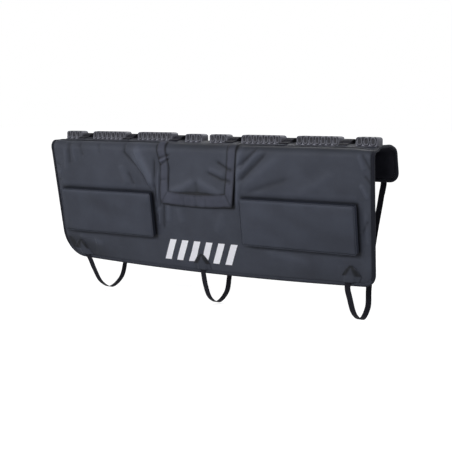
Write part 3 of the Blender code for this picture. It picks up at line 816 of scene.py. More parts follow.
def cover_shade(x, s):
    """Painted highlight on fold ridges, and painted shade in fold valleys, round the pads, beside and under
    the flap, along the tape and the strip, and towards the bottom.
    """
    d = -s / FRONT_SLOPE
    # Painted highlight and shade of the folds, and random tone
    shade = all_folds(x, d, FOLDS) / FOLD_PALE + 0.16 * cloth_noise(x, s * 0.8, 9.0, 5.5)
    for middle in PANEL_MIDDLES.values():
        # Painted shade in the groove round each pad, and a painted highlight on the bulge above it
        shade -= 0.9 * bell(outside_of(x, d, panel_rectangle(middle)), 0.007)
        ridge = bell(d - PANEL_TOP + 0.024, 0.009)
        shade += 0.25 * ridge * (np.abs(x - middle) < PANEL_LENGTH / 2)
    # Painted shade: darker towards the bottom at both ends, and more in the lower left corner
    shade -= 0.28 * smooth_step(0.25, 0.55, np.abs(x)) * smooth_step(0.38, 0.47, d)
    shade -= 0.50 * smooth_step(-0.50, -0.68, x) * smooth_step(0.37, 0.43, d)
    # Painted shade beside and under the flap, and the painted shadow under the strip, on the front only
    beside = np.maximum(np.abs(x - flap_pull(x, s)) - flap_half_width(d), 0)
    on_flap = smooth_step(FLAP_DROP + 0.004, FLAP_DROP - 0.004, d)
    below = np.maximum(d - FLAP_DROP, 0) + beside
    dark = strip_shadow(x, s) + 0.9 * bell(beside, 0.005) * on_flap + 0.8 * bell(below, 0.008)
    shade -= dark * (s < CROWN_MIDDLE_S)
    # Painted shade along the tape's inner edge and along the strip's front edge
    shade -= 0.25 * seam_line(edge_distance(x, s) - BINDING_WIDTH)
    return shade - 0.8 * seam_line(crown_length(-STRIP_EDGE_Y) - s)


def cover_relief(x, s):
    """How far the cover stands off its plain face."""
    d = -s / FRONT_SLOPE
    free = edge_distance(x, s) - BINDING_WIDTH
    for rectangle in held_places():
        free = np.minimum(free, outside_of(x, d, rectangle))
    strip = np.maximum(crown_length(-STRIP_EDGE_Y) - s, s - crown_length(STRIP_EDGE_Y))
    free = np.minimum(free, strip)
    puff = PUFF_HEIGHT * (1 - np.exp(-np.maximum(free, 0) / PUFF_REACH))
    slow = 0.0016 * cloth_noise(x, s * 0.8, 7.0, 3.1)
    creases = 0.0009 * (0.35 - np.abs(cloth_noise(x * 0.8 + s * 0.5, s, 19.0, 8.7)))
    relief = all_folds(x, d, FOLDS) * FOLD_STRENGTH + slow + creases
    return np.maximum(puff + relief * smooth_step(0.0, 0.016, free), 0.0)


STRIP_EDGE_Y = CROWN_FLAT / 2 + SHOULDER_DEPTH * math.cos(STRIP_EDGE_ANGLE)


# Cover, foam, lining and edge tape

COVER_STEP, FOAM_STEP, LINING_STEP = 0.0040, 0.010, 0.009
# Share of the foam's thickness that the tape's seam leaves, and how far in it is squeezed
SQUEEZED_FOAM, SQUEEZE_REACH = 0.48, 0.040
LINING_RIPPLE = 0.0004
TAPE_WOBBLE = 0.0004
TAPE_GIRTH = 0.045


def pad_grid(step, inset=0.0):
    across, share = np.meshgrid(pad_columns(step, inset), pad_shares(step))
    return pad_places(across, share, inset)


def make_cover():
    x, s = pad_grid(COVER_STEP)
    cover = add_sheet("cover_cloth", x, s, cover_relief(x, s), printed_fabric())
    shade_points(cover, cover_shade(x, s))
    return dress(cover, "cover_fabric", "outer_cover")


def add_slab(name, x, s, outer, inner, material):
    """A closed slab between two offsets from the cover's face."""
    rows, columns = x.shape
    count = rows * columns
    faces = grid_faces(rows, columns)
    faces += [tuple(count + k for k in reversed(face)) for face in faces]
    rim = [j * columns for j in range(rows)]
    rim += [(rows - 1) * columns + i for i in range(1, columns)]
    rim += [j * columns + columns - 1 for j in range(rows - 2, -1, -1)]
    rim += [i for i in range(columns - 2, 0, -1)]
    for corner, following in zip(rim, rim[1:] + rim[:1]):
        faces.append((corner, following, count + following, count + corner))
    points = [place_on(x, s, offset).reshape(-1, 3) for offset in (outer, inner)]
    return add_mesh(name, np.concatenate(points), faces, material, np.tile(flat_places(x, s), (2, 1)))


def padding_depth(edge):
    """Depth of cover and foam, squeezed by the tape's seam near the pad's edge."""
    full = SQUEEZED_FOAM + (1 - SQUEEZED_FOAM) * smooth_step(0.0, SQUEEZE_REACH, edge)
    return COVER_THICKNESS + GAP + FOAM_THICKNESS * full


def make_foam():
    x, s = pad_grid(FOAM_STEP, FOAM_EDGE_INSET)
    inner = -padding_depth(edge_distance(x, s))
    foam = add_slab("foam_core", x, s, -COVER_THICKNESS - GAP, inner, foam_material())
    dress(foam, "foam", "foam_padding")


def make_lining():
    x, s = pad_grid(LINING_STEP, BINDING_WIDTH + GAP)
    ripple = LINING_RIPPLE * cloth_noise(x, s, 16.0, 21.0)
    depth = padding_depth(edge_distance(x, s)) + GAP
    lining = add_slab("lining_cloth", x, s, -depth, -depth - LINING_THICKNESS + ripple, lining_fabric())
    return dress(lining, "lining", "inner_lining")


def edge_path(step):
    """The pad's edge once round as (x, s) and the direction inwards over the cloth."""
    columns, shares = pad_columns(step), pad_shares(step)
    around = [(a, -1.0) for a in columns] + [(1.0, share) for share in shares[1:-1]]
    around += [(a, 2.0) for a in columns[::-1]] + [(-1.0, share) for share in shares[::-1][1:-1]]
    path = np.stack(pad_places(*np.array(around).T), 1)
    closed = np.vstack([path, path[:1]])
    lengths = run_lengths(closed)
    even = points_at(np.linspace(0, lengths[-1], int(lengths[-1] / step), endpoint=False), lengths, closed)
    along = np.roll(even, -1, 0) - np.roll(even, 1, 0)
    along /= np.hypot(*along.T)[:, None]
    return even, np.stack([-along[:, 1], along[:, 0]], 1)


def binding_section():
    """Section of the tape as (distance in from the edge, height off the cover's face)."""
    depth = float(padding_depth(0.0))
    middle, half = -depth / 2, depth / 2 + GAP + BINDING_THICKNESS
    top, under = GAP + BINDING_THICKNESS, -depth - GAP
    deep = -float(padding_depth(BINDING_WIDTH)) - GAP
    outer = [(BINDING_WIDTH, top - 0.0003), (BINDING_WIDTH * 0.5, top)]
    for angle in np.linspace(math.pi / 2, 3 * math.pi / 2, 11):
        outer.append(((BINDING_ROUND + BINDING_THICKNESS) * math.cos(angle), middle + half * math.sin(angle)))
    outer += [(BINDING_WIDTH * 0.5, (under + deep) / 2 - BINDING_THICKNESS),
              (BINDING_WIDTH, deep - BINDING_THICKNESS + 0.0003)]
    return outer + [(BINDING_WIDTH, deep), (0.0, under), (-BINDING_ROUND, middle), (0.0, GAP),
                    (BINDING_WIDTH, GAP)]


def make_binding():
    path, inwards = edge_path(EDGE_STEP)
    section = binding_section()
    wobble = cloth_noise(path[:, :1], path[:, 1:], 60.0, 4.4).ravel() * TAPE_WOBBLE
    towards = place_on(*(path + inwards * 1e-3).T, 0.0) - place_on(*path.T, 0.0)
    towards /= np.linalg.norm(towards, axis=1)[:, None]
    points = np.zeros((len(path), len(section), 3))
    for k, (distance, height) in enumerate(section):
        spot = path + inwards * max(distance, 0.0)
        spread = height + (wobble if height > 0 else 0)
        points[:, k] = place_on(*spot.T, spread) + towards * min(distance, 0.0)
    size = (len(path), len(section))
    material = woven_webbing("edge_tape", BINDING_COLOUR, 0.6, tinted(COVER_COLOUR, 0.75))
    binding = add_mesh("edge_tape", points.reshape(-1, 3), tube_faces(*size, joined=True), material,
                       tube_flat(*size, EDGE_STEP, TAPE_GIRTH))
    worn = np.zeros(size)
    lower = (np.abs(inwards[:, 0]) < 0.8) & (path[:, 1] < 0)
    worn[lower, :3] = 1.0, 1.0, 0.5
    worn[lower, -1] = 1.0
    set_values(binding, "worn", worn)
    flip_outwards(binding)
    return dress(binding, "binding", "edge_binding")


def flip_outwards(piece):
    shape = bmesh.new()
    shape.from_mesh(piece.data)
    bmesh.ops.recalc_face_normals(shape, faces=shape.faces)
    shape.to_mesh(piece.data)
    shape.free()


# Stitches

STITCH_LENGTH = 0.0034
STITCH_PITCH = 0.0048
STITCH_RADIUS = 0.00055
# Each ring of a stitch: share of its length, size and lift as shares of its radius
STITCH_RINGS = ((0.0, 0.25, -0.3), (0.2, 0.9, 0.35), (0.5, 1.0, 0.6), (0.8, 0.9, 0.35), (1.0, 0.25, -0.3))


def stitch_line(points, normals):
    """Stitches along a run of points, each a small rounded bead that dips at both ends."""
    points, normals = np.asarray(points, float), np.asarray(normals, float)
    lengths = run_lengths(points)
    vertices, faces = [], []
    for start in np.arange(STITCH_PITCH / 2, lengths[-1] - STITCH_LENGTH, STITCH_PITCH):
        line = points_at([start + STITCH_LENGTH * share for share, _, _ in STITCH_RINGS], lengths, points)
        up = points_at([start], lengths, normals)[0]
        up /= np.linalg.norm(up)
        side = np.cross(line[-1] - line[0], up)
        side /= np.linalg.norm(side)
        faces += [tuple(len(vertices) + k for k in quad) for quad in grid_faces(5, 5, closed=True)]
        for centre, (_, size, lift) in zip(line, STITCH_RINGS):
            for angle in (2 * math.pi * k / 5 for k in range(5)):
                spoke = side * math.cos(angle) + up * math.sin(angle)
                vertices.append(centre + (spoke * size + up * lift) * STITCH_RADIUS)
    return vertices, faces


def make_stitches(name, runs, slot):
    """One piece of thread from several runs of (points, normals)."""
    vertices, faces = [], []
    for points, normals in runs:
        more, quads = stitch_line(points, normals)
        faces += [tuple(k + len(vertices) for k in quad) for quad in quads]
        vertices += more
    return dress(add_mesh(name, vertices, faces, THREAD), slot)


def run_on_cover(path, offset):
    """Points and normals of a run of (x, s) places, lifted off the cover's face."""
    path = np.asarray(path, float)
    low = place_on(path[:, 0], path[:, 1], offset)
    return low, place_on(path[:, 0], path[:, 1], np.asarray(offset) + 1.0) - low


def dense(points, step=0.004):
    points = np.asarray(points, float)
    lengths = run_lengths(points)
    return points_at(np.linspace(0, lengths[-1], max(2, int(lengths[-1] / step))), lengths, points)


def make_edge_stitches():
    path, inwards = edge_path(EDGE_STEP)
    inset = path + inwards * (BINDING_WIDTH - 0.0028)
    run = np.vstack([inset, inset[:1]])
    front = run_on_cover(run, GAP + BINDING_THICKNESS)
    points, normals = run_on_cover(run, -float(padding_depth(BINDING_WIDTH)) - GAP - BINDING_THICKNESS)
    return make_stitches("edge_stitches", [front, (points, -normals)], "binding")


# Impact panels, swollen by a cloth simulation

PAD_VOXEL = 0.0050
PAD_SWELL_CAP = 0.0055
PAD_START_INSET = 0.0020
PAD_FRAMES = 20
PAD_SWELL_ROOM = 0.003
PAD_SKIRT = 0.008
GUSSET_HEIGHT = 0.024
PAD_WAVES, PAD_PUCKERS = 0.0013, 0.0007
SWELL_SETTINGS = {
    "quality": 6, "mass": 0.15, "tension_stiffness": 20, "compression_stiffness": 20,
    "shear_stiffness": 8, "bending_stiffness": 0.6, "vertex_group_mass": "sewn",
    "pin_stiffness": 1.0, "use_pressure": True, "uniform_pressure_force": 4.0,
}
PIPING_INSET = 0.0015
PIPING_CORNER = 0.008
PIPING_RADIUS = 0.0016
PIPING_SIDES = 8
PIPING_STEP = 0.005


def rounded_slab(length, height, thickness, radius):
    """A slab with rounded edges, its back on z = 0, fine enough to remesh cleanly."""
    shape = bmesh.new()
    size = Matrix.Diagonal((length, height, thickness, 1))
    bmesh.ops.create_cube(shape, size=1.0, matrix=Matrix.Translation((0, 0, thickness / 2)) @ size)
    bmesh.ops.bevel(shape, geom=list(shape.edges), offset=radius, segments=4, affect="EDGES", profile=0.5)
    return shape


def bake_mesh(piece):
    """Replaces the piece's mesh by what its modifiers make of it."""
    view = bpy.context.evaluated_depsgraph_get()
    view.update()
    mesh = bpy.data.meshes.new_from_object(piece.evaluated_get(view))
    piece.modifiers.clear()
    old = piece.data
    piece.data = mesh
    bpy.data.meshes.remove(old)


def swell(piece, sewn):
    """Blows the piece up as cloth, with the sewn places held, and caps each point's move."""
    rest = mesh_points(piece)
    group = piece.vertex_groups.new(name="sewn")
    for index, weight in enumerate(sewn(rest)):
        if weight > 0:
            group.add([index], float(weight), "REPLACE")
    cloth = piece.modifiers.new("Swell", "CLOTH")
    for name, value in SWELL_SETTINGS.items():
        setattr(cloth.settings, name, value)
    cloth.settings.effector_weights.gravity = 0.0
    cloth.collision_settings.use_collision = False
    cloth.point_cache.frame_start = 1
    cloth.point_cache.frame_end = PAD_FRAMES
    scene = bpy.context.scene
    for number in range(1, PAD_FRAMES + 1):
        scene.frame_set(number)
    bake_mesh(piece)
    scene.frame_set(1)
    move = mesh_points(piece) - rest
    size = np.linalg.norm(move, axis=1)[:, None]
    set_mesh_points(piece, rest + move * np.minimum(1.0, PAD_SWELL_CAP / np.maximum(size, 1e-9)))


def mesh_points(piece):
    points = np.zeros(len(piece.data.vertices) * 3)
    piece.data.vertices.foreach_get("co", points)
    return points.reshape(-1, 3)


def set_mesh_points(piece, points):
    piece.data.vertices.foreach_set("co", np.asarray(points, np.float32).ravel())
    piece.data.update()


def make_impact_pad(name, node, side):
    height = PANEL_THICKNESS - PAD_SWELL_ROOM
    shape = rounded_slab(PANEL_LENGTH - 2 * PAD_START_INSET, PANEL_HEIGHT - 2 * PAD_START_INSET,
                         height, 0.006)
    mesh = bpy.data.meshes.new(name)
    shape.to_mesh(mesh)
    shape.free()
    pad = add_object(name, mesh)
    remesh = pad.modifiers.new("Voxels", "REMESH")
    remesh.mode = "VOXEL"
    remesh.voxel_size = PAD_VOXEL
    remesh.use_smooth_shade = True
    bake_mesh(pad)
    half, rise = PANEL_LENGTH / 2, PANEL_HEIGHT / 2

    def sewn(points):
        """1 on the back, and nearly 1 on the seam round the face."""
        u, v, w = points.T
        edge = np.minimum(half - np.abs(u), rise - np.abs(v))
        rim = (edge < 0.009) & (w > height - 0.009)
        return np.maximum(np.where(w < 0.004, 1.0, 0.0), np.where(rim, 0.92, 0.0))

    swell(pad, sewn)
    points = mesh_points(pad)
    points[:, 2] = np.maximum(points[:, 2], 0.0)
    set_mesh_points(pad, points)
    smoother = pad.modifiers.new("Finer", "SUBSURF")
    smoother.levels = smoother.render_levels = 1
    bake_mesh(pad)
    finish_pad_face(pad, half, rise, -1 if side == "left" else 1)
    pad.data.transform(panel_matrix(side))
    pad.data.shade_smooth()
    dress(pad, "panel_fabric", node)


def panel_matrix(side):
    """From a panel's own axes, right, up and outwards, to its place on the front panel."""
    spot = place_on(PANEL_MIDDLES[side], -(PANEL_TOP + PANEL_HEIGHT / 2) * FRONT_SLOPE, GAP)
    up = Vector((0, -FRONT_LEAN, 1)).normalized()
    right = Vector((1, 0, 0))
    out = right.cross(up)
    turn = Matrix((right, up, out)).transposed().to_4x4()
    return Matrix.Translation(Vector(spot)) @ turn


def finish_pad_face(pad, half, rise, sign):
    """Soft waves and creases on the face, a painted highlight along its top edge and painted shade along its
    foot, and dark gusset walls deepened with painted shade, with a painted lighter tone where the right pad's
    walls face right.

    sign is -1 for the left pad and 1 for the right one.
    """
    points = mesh_points(pad)
    normals = np.zeros(len(points) * 3)
    pad.data.vertices.foreach_get("normal", normals)
    normals = normals.reshape(-1, 3)
    u, v, w = points.T
    facing = smooth_step(0.5, 0.95, normals[:, 2])
    edge = np.minimum(half - np.abs(u), rise - np.abs(v))
    shade = 0.30 * cloth_noise(u * 0.6 + v * 0.8, v, 12.0, 40.0 + sign)
    # Painted highlight along the face's top edge and painted shade along its foot
    shade += 0.45 * bell(rise - v - 0.006, 0.008) - 0.7 * bell(rise + v, 0.005)
    skirt = PAD_SKIRT * np.clip(1 - w / GUSSET_HEIGHT, 0, 1)
    points[:, 1] += skirt * smooth_step(rise - 0.012, rise, v)
    points[:, 0] += 0.4 * skirt * smooth_step(half - 0.012, half, u)
    inside = smooth_step(0.0, 0.03, edge) * facing
    waves = PAD_WAVES * cloth_noise(u * 0.7 + v * 0.9, v * 0.8, 13.0, 5.0 + sign)
    pucker = PAD_PUCKERS * cloth_noise(u, v, 55.0, 9.0 + sign) * np.exp(-np.maximum(edge, 0) / 0.018) * facing
    points[:, 2] += waves * inside + pucker
    set_mesh_points(pad, points)
    shade_points(pad, shade * facing)
    pad.data.materials.clear()
    for material in (PANEL_FABRIC, SHADED_WALL_FABRIC, LIT_SIDE_WALL_FABRIC):
        pad.data.materials.append(material)
    # Walls take the dark gusset colour with painted shade, and the right pad's right-facing walls a painted
    # lighter tone
    for face in pad.data.polygons:
        if face.normal.z < 0.5:
            face.material_index = 2 if sign > 0 and face.normal.x > 0.6 else 1


def make_pad_piping(name, side):
    """Thin piping sewn round the front edge of an impact panel."""
    half, rise = PANEL_LENGTH / 2 - PIPING_INSET, PANEL_HEIGHT / 2 - PIPING_INSET
    loop = []
    for cx, cy, start in ((half, rise, 0), (-half, rise, 90), (-half, -rise, 180), (half, -rise, 270)):
        for angle in np.radians(np.linspace(start, start + 90, 7)):
            loop.append((cx + PIPING_CORNER * (math.cos(angle) - math.copysign(1, cx)),
                         cy + PIPING_CORNER * (math.sin(angle) - math.copysign(1, cy))))
    line = dense(loop + loop[:1], PIPING_STEP)[:-1]
    along = np.roll(line, -1, 0) - np.roll(line, 1, 0)
    along /= np.hypot(*along.T)[:, None]
    outwards = np.stack([along[:, 1], -along[:, 0]], 1)
    points = np.zeros((len(line), PIPING_SIDES, 3))
    for k in range(PIPING_SIDES):
        angle = 2 * math.pi * k / PIPING_SIDES
        points[:, k, :2] = line + outwards * PIPING_RADIUS * math.cos(angle)
        points[:, k, 2] = PANEL_THICKNESS - 0.0050 + PIPING_RADIUS * math.sin(angle)
    size = (len(line), PIPING_SIDES)
    piping = add_mesh(name, points.reshape(-1, 3), tube_faces(*size, joined=True), PIPING_FABRIC,
                      tube_flat(*size, PIPING_STEP, 0.010))
    piping.data.transform(panel_matrix(side))
    flip_outwards(piping)
    dress(piping, "panel_fabric")


# Centre flap and its hem

FLAP_TOP_S = crown_length(-STRIP_EDGE_Y)
FLAP_FOLDS = (
    (((-0.19, 0.03), (-0.128, 0.012)), 0.0055, -0.0036),
    (((-0.188, 0.043), (-0.135, 0.024)), 0.006, 0.0026),
    (((-0.192, 0.04), (-0.178, 0.054), (-0.13, 0.026)), 0.005, -0.0038),
    (((-0.186, 0.118), (-0.15, 0.114)), 0.006, -0.0016),
    (((0.106, 0.034), (0.149, 0.058), (0.185, 0.069)), 0.007, -0.0034),
    (((0.055, 0.078), (0.128, 0.106), (0.178, 0.112)), 0.008, -0.0032),
    (((0.066, 0.064), (0.14, 0.088)), 0.011, 0.002),
    (((-0.01, 0.112), (-0.06, 0.14), (-0.14, 0.166)), 0.014, 0.0026),
    (((0.004, 0.112), (0.06, 0.14), (0.128, 0.172)), 0.014, 0.0026),
    (((0.000, 0.118), (0.004, 0.166)), 0.012, -0.0016),
    (((-0.07, 0.16), (0.07, 0.166)), 0.012, -0.0012),
    (((-0.01, 0.17), (0.000, 0.225)), 0.01, -0.0015),
    (((-0.066, 0.18), (-0.064, 0.222)), 0.005, -0.0013),
    (((0.046, 0.182), (0.046, 0.222)), 0.006, -0.0012),
    (((0.158, 0.11), (0.17, 0.125)), 0.007, -0.0015),
)


def flap_half_width(d):
    share = np.clip(d, 0, FLAP_DROP) / FLAP_DROP
    return (FLAP_TOP_WIDTH + (FLAP_BOTTOM_WIDTH - FLAP_TOP_WIDTH) * share) / 2


FLAP_PULL_DROPS = (-0.030, 0.0, 0.050, 0.066, 0.123, 0.184, 0.218)
FLAP_PULLS = (0.006, 0.011, 0.0145, 0.0152, 0.004, -0.008, -0.008)


def flap_pull(x, s):
    """How far the flap's left side is drawn in along its length, easing off to the middle."""
    return np.interp(-s / FRONT_SLOPE, FLAP_PULL_DROPS, FLAP_PULLS) * smooth_step(0.10, -0.12, x)


def flap_offset(x, s):
    """How far the flap's inner face stands off the cover's plain face."""
    d = -s / FRONT_SLOPE
    share = np.clip(d / FLAP_DROP, 0, 1)
    rise = FLAP_PROUD * share * share * (3 - 2 * share)
    folds = all_folds(x, d, FLAP_FOLDS) * 1.4
    slow = 0.0012 * cloth_noise(x, s, 12.0, 31.0)
    free = smooth_step(0.0, 0.05, d + 0.01)
    edge_wave = 0.0020 * np.sin(x * 36 + 0.6) * smooth_step(0.6, 1.0, share)
    return GAP + rise + (folds + slow + edge_wave) * free + 0.0006


def flap_drop_limit(across):
    """The lower edge droops a little between its corners."""
    return FLAP_DROP + 0.004 * (1 - across ** 2) - 0.003 * np.abs(across) ** 6


def flap_places(across, share):
    """(x, s) of the flap: share 0 at the base strip's edge, 1 at its lower edge."""
    top = FLAP_TOP_S - GAP
    lower = -flap_drop_limit(across) * FRONT_SLOPE
    s = top + (lower - top) * share
    return across * flap_half_width(-s / FRONT_SLOPE), s


def make_flap():
    across, share = np.meshgrid(np.linspace(-1, 1, 90), np.linspace(1, 0, 64))
    plain_x, s = flap_places(across, share)
    x = plain_x + flap_pull(plain_x, s)
    flap = add_sheet("flap_cloth", x, s, flap_offset(x, s), FLAP_FABRIC)
    d = -s / FRONT_SLOPE
    to_hem = np.minimum(flap_half_width(d) - HEM_SIDE - np.abs(plain_x), FLAP_DROP - HEM_BOTTOM - d)
    # Painted highlight and shade of the folds, random tone, painted shade along the hem's inner edge and the
    # painted shadow under the strip, all a little darker
    shade_points(flap, all_folds(x, d, FLAP_FOLDS) / FLAP_FOLD_PALE + 0.15 * cloth_noise(x, s, 14.0, 2.5)
                 - 0.9 * bell(np.maximum(to_hem, 0), 0.005) - strip_shadow(x, s) - 0.05)
    add_thickness(flap, FLAP_THICKNESS, 1)
    return dress(flap, "cover_fabric", "centre_flap")


STITCH_INSET = 0.0035
HEM_ACROSS_CELLS = 10
HEM_MIDDLE_CELLS = 60
HEM_ROWS = 12
HEM_UP_CELLS = 56


def hem_grid():
    """(x, s, fullness) of the hem, and its cells: bands down both sides and along the foot.

    A column is (side or 0 in the middle, share across), a row (share up the foot, share above it).
    """
    side = [k / HEM_ACROSS_CELLS for k in range(HEM_ACROSS_CELLS + 1)]
    columns = [(-1, k) for k in side] + [(0, k / HEM_MIDDLE_CELLS) for k in range(1, HEM_MIDDLE_CELLS)]
    columns += [(1, k) for k in reversed(side)]
    rows = [(k / HEM_ROWS, 0) for k in range(HEM_ROWS + 1)]
    rows += [(1.0, k / HEM_UP_CELLS) for k in range(1, HEM_UP_CELLS + 1)]
    x, s, crown = np.zeros((3, len(rows), len(columns)))
    cells = []
    hem_s = HEM_BOTTOM * FRONT_SLOPE
    for j, (up, above) in enumerate(rows):
        for i, (where, along) in enumerate(columns):
            bottom = -float(flap_drop_limit(where or 2 * along - 1)) * FRONT_SLOPE
            s[j, i] = bottom + hem_s * up + (FLAP_TOP_S - GAP - bottom - hem_s) * above
            half = float(flap_half_width(-s[j, i] / FRONT_SLOPE))
            x[j, i] = where * (half - HEM_SIDE * along) or (half - HEM_SIDE) * (2 * along - 1)
            crown[j, i] = band_profile(along if where else 1.0, up)
            if (where or not above) and j < len(rows) - 1 and i < len(columns) - 1:
                cells.append((j, i))
    return x, s, crown, cells


def band_profile(across, height):
    """Fullness across the band, with a crease where the corners are mitred."""
    share = min(across, height)
    full = math.sin(math.pi * share) ** 0.6 if share < 1 else 0.0
    if max(across, height) >= 1:
        return full
    return full * (0.35 + 0.65 * min(1.0, abs(across - height) / 0.25))


def make_hem():
    x, s, crown, cells = hem_grid()
    x = x + flap_pull(x, s)
    offset = flap_offset(x, s) + FLAP_THICKNESS + GAP
    puckers = 0.0006 * cloth_noise(x, s, 48.0, 12.0) * (crown > 0)
    layers = place_on(x, s, offset), place_on(x, s, offset + 0.0012 + 0.0016 * crown + puckers)
    # Painted highlight and shade of the folds with random tone, a painted highlight on each band's full
    # middle and painted shade at its seams, the painted shadow under the strip, and the left band painted
    # lighter
    folds = all_folds(x, -s / FRONT_SLOPE, FLAP_FOLDS) / FLAP_FOLD_PALE + 0.25 * cloth_noise(x, s, 40.0, 6.5)
    shade = folds + 1.15 * np.minimum(crown / 0.75, 1.0) - 0.95 - strip_shadow(x, s)
    shade += 0.18 * smooth_step(-0.10, -0.14, x)
    corners, vertices, flat, shades, faces = {}, [], [], [], []

    def corner(place, layer):
        key = (place, layer)
        if key not in corners:
            corners[key] = len(vertices)
            vertices.append(layers[layer][place])
            flat.append((x[place], s[place]))
            # The hem's inner layer is painted fully in shade, which also darkens the band's edge walls
            shades.append(shade[place] if layer else -1.0)
        return corners[key]

    inside = set(cells)
    for j, i in cells:
        ring = [(j, i), (j, i + 1), (j + 1, i + 1), (j + 1, i)]
        faces.append(tuple(corner(a, 1) for a in ring))
        faces.append(tuple(corner(a, 0) for a in reversed(ring)))
        beside = ((j - 1, i), (j, i + 1), (j + 1, i), (j, i - 1))
        for neighbour, a, b in zip(beside, ring, ring[1:] + ring[:1]):
            if neighbour not in inside:
                faces.append((corner(a, 0), corner(b, 0), corner(b, 1), corner(a, 1)))
    hem = add_mesh("flap_hem", vertices, faces, HEM_FABRIC, flat)
    shade_points(hem, np.array(shades))
    flip_outwards(hem)
    return dress(hem, "hem", "flap_hem_band")


def flap_run(path, lift):
    """Points and normals of a run of (x, s) places on the flap's hem."""
    path = dense(path, 0.003)
    x, s = path.T
    x = x + flap_pull(x, s)
    offset = flap_offset(x, s) + FLAP_THICKNESS + GAP + lift
    low = place_on(x, s, offset)
    return low, place_on(x, s, offset + 1.0) - low


def make_flap_stitches():
    runs = []
    bottom, hem_s = -FLAP_DROP * FRONT_SLOPE, HEM_BOTTOM * FRONT_SLOPE
    half = float(flap_half_width(FLAP_DROP))
    inner = float(flap_half_width(FLAP_DROP - HEM_BOTTOM)) - HEM_SIDE + 0.002
    for side in (-1, 1):
        for inset, stop in ((STITCH_INSET, bottom + 0.004), (HEM_SIDE - STITCH_INSET, bottom + hem_s)):
            s = np.linspace(FLAP_TOP_S - 0.004, stop, 40)
            x = side * (flap_half_width(-s / FRONT_SLOPE) - inset)
            runs.append(flap_run(np.stack([x, s], 1), 0.0018))
        for shift in (-STITCH_INSET, STITCH_INSET):
            runs.append(flap_run([(side * (half - 0.006 + shift), bottom + 0.004),
                                  (side * (inner + shift), bottom + hem_s - 0.003)], 0.0022))
    for up, wide in ((STITCH_INSET, half - 0.006), (hem_s - STITCH_INSET, half - HEM_SIDE)):
        x = np.linspace(-1, 1, 40) * wide
        s = -flap_drop_limit(x / (FLAP_BOTTOM_WIDTH / 2)) * FRONT_SLOPE + up
        runs.append(flap_run(np.stack([x, s], 1), 0.0018))
    return make_stitches("flap_stitches", runs, "hem")


# Crown: base strip, blocks and frame straps

STRIP_ROLL, STRIP_RIPPLE = 0.0016, 0.0010
STRIP_SEAM = 0.0045
BLOCK_LEVELS = 22
# The rings that close a block's top, how far it swells, and the painted tones of its edge, a painted
# highlight, and of its middle
TOP_RINGS = (0.86, 0.70, 0.50, 0.30, 0.12)
TOP_SPINE_INSET, TOP_SWELL = 0.024, 0.0008
TOP_EDGE_HIGHLIGHT, TOP_TONE = 0.52, 0.36


def make_base_strip():
    """Strip with rolled edges, a little wavy where it is sewn down."""
    half = PAD_WIDTH / 2 - BINDING_WIDTH - GAP
    front_s, back_s = crown_length(-STRIP_EDGE_Y), crown_length(STRIP_EDGE_Y)
    thickness = BASE_STRIP_THICKNESS
    roll = [(STRIP_ROLL * (1 - math.cos(a)), GAP + thickness / 2 * (1 + math.sin(a)))
            for a in np.radians(np.linspace(-90, 90, 7))]
    inner = np.linspace(front_s + 0.003, back_s - 0.003, 46)
    section = [(front_s + u, w) for u, w in roll] + [(s, GAP + thickness) for s in inner]
    section += [(back_s - u, w) for u, w in reversed(roll)] + [(s, GAP) for s in inner[::-6]]
    places, heights = np.array(section).T
    s, x = np.meshgrid(places, np.linspace(-half, half, 260))
    height = np.broadcast_to(heights, x.shape)
    on_top = height > GAP + thickness * 0.6
    near_front = np.exp(-(s - front_s) / 0.010)
    ripple = STRIP_RIPPLE * cloth_noise(x, s * 0.4, 34.0, 17.0) * on_top * near_front
    points = place_on(x, s, height + np.maximum(ripple, -0.0006))
    strip = add_mesh("crown_strip", points.reshape(-1, 3), tube_faces(*x.shape), STRIP_FABRIC,
                     flat_places(x, s))
    flip_outwards(strip)
    dress(strip, "strip_fabric", "bumper_base_strip")
    runs = []
    for s in (front_s + STRIP_SEAM, back_s - STRIP_SEAM):
        runs.append(run_on_cover(dense([(-half + 0.004, s), (half - 0.004, s)], 0.006), GAP + thickness))
    make_stitches("crown_stitches", runs, "strip_fabric")


def lug_shape(share, rise):
    """Depth 0 to 1 below the crest and tone 0 to 1, at a share of the pitch and a height; the tone is
    painted light, 1 a painted highlight and 0 painted shade.

    A lug is a long oval with a raised rim, painted pale as a highlight. A groove, painted dark as shade,
    runs round it, and a sloping facet painted bright as a highlight fills the corner between two ovals
    at the foot of the block.
    """
    across, up = abs(share - 0.5) / LUG_HALF_WIDTH, (rise - LUG_MIDDLE) / LUG_HALF_HEIGHT
    oval = (across ** 2.6 + abs(up) ** 3.2) ** (1 / 2.8)
    if oval <= 1:
        rim = float(bell(oval - 0.80, 0.15))
        return 0.45 * (1 - rim), 0.04 + 0.56 * rim
    if up < 0 and oval > FACET_START:
        lift = min(1.0, (oval - FACET_START) / FACET_SLOPE)
        return 1 - 0.9 * lift, 0.1 + 1.0 * lift
    return 1.0, 0.0


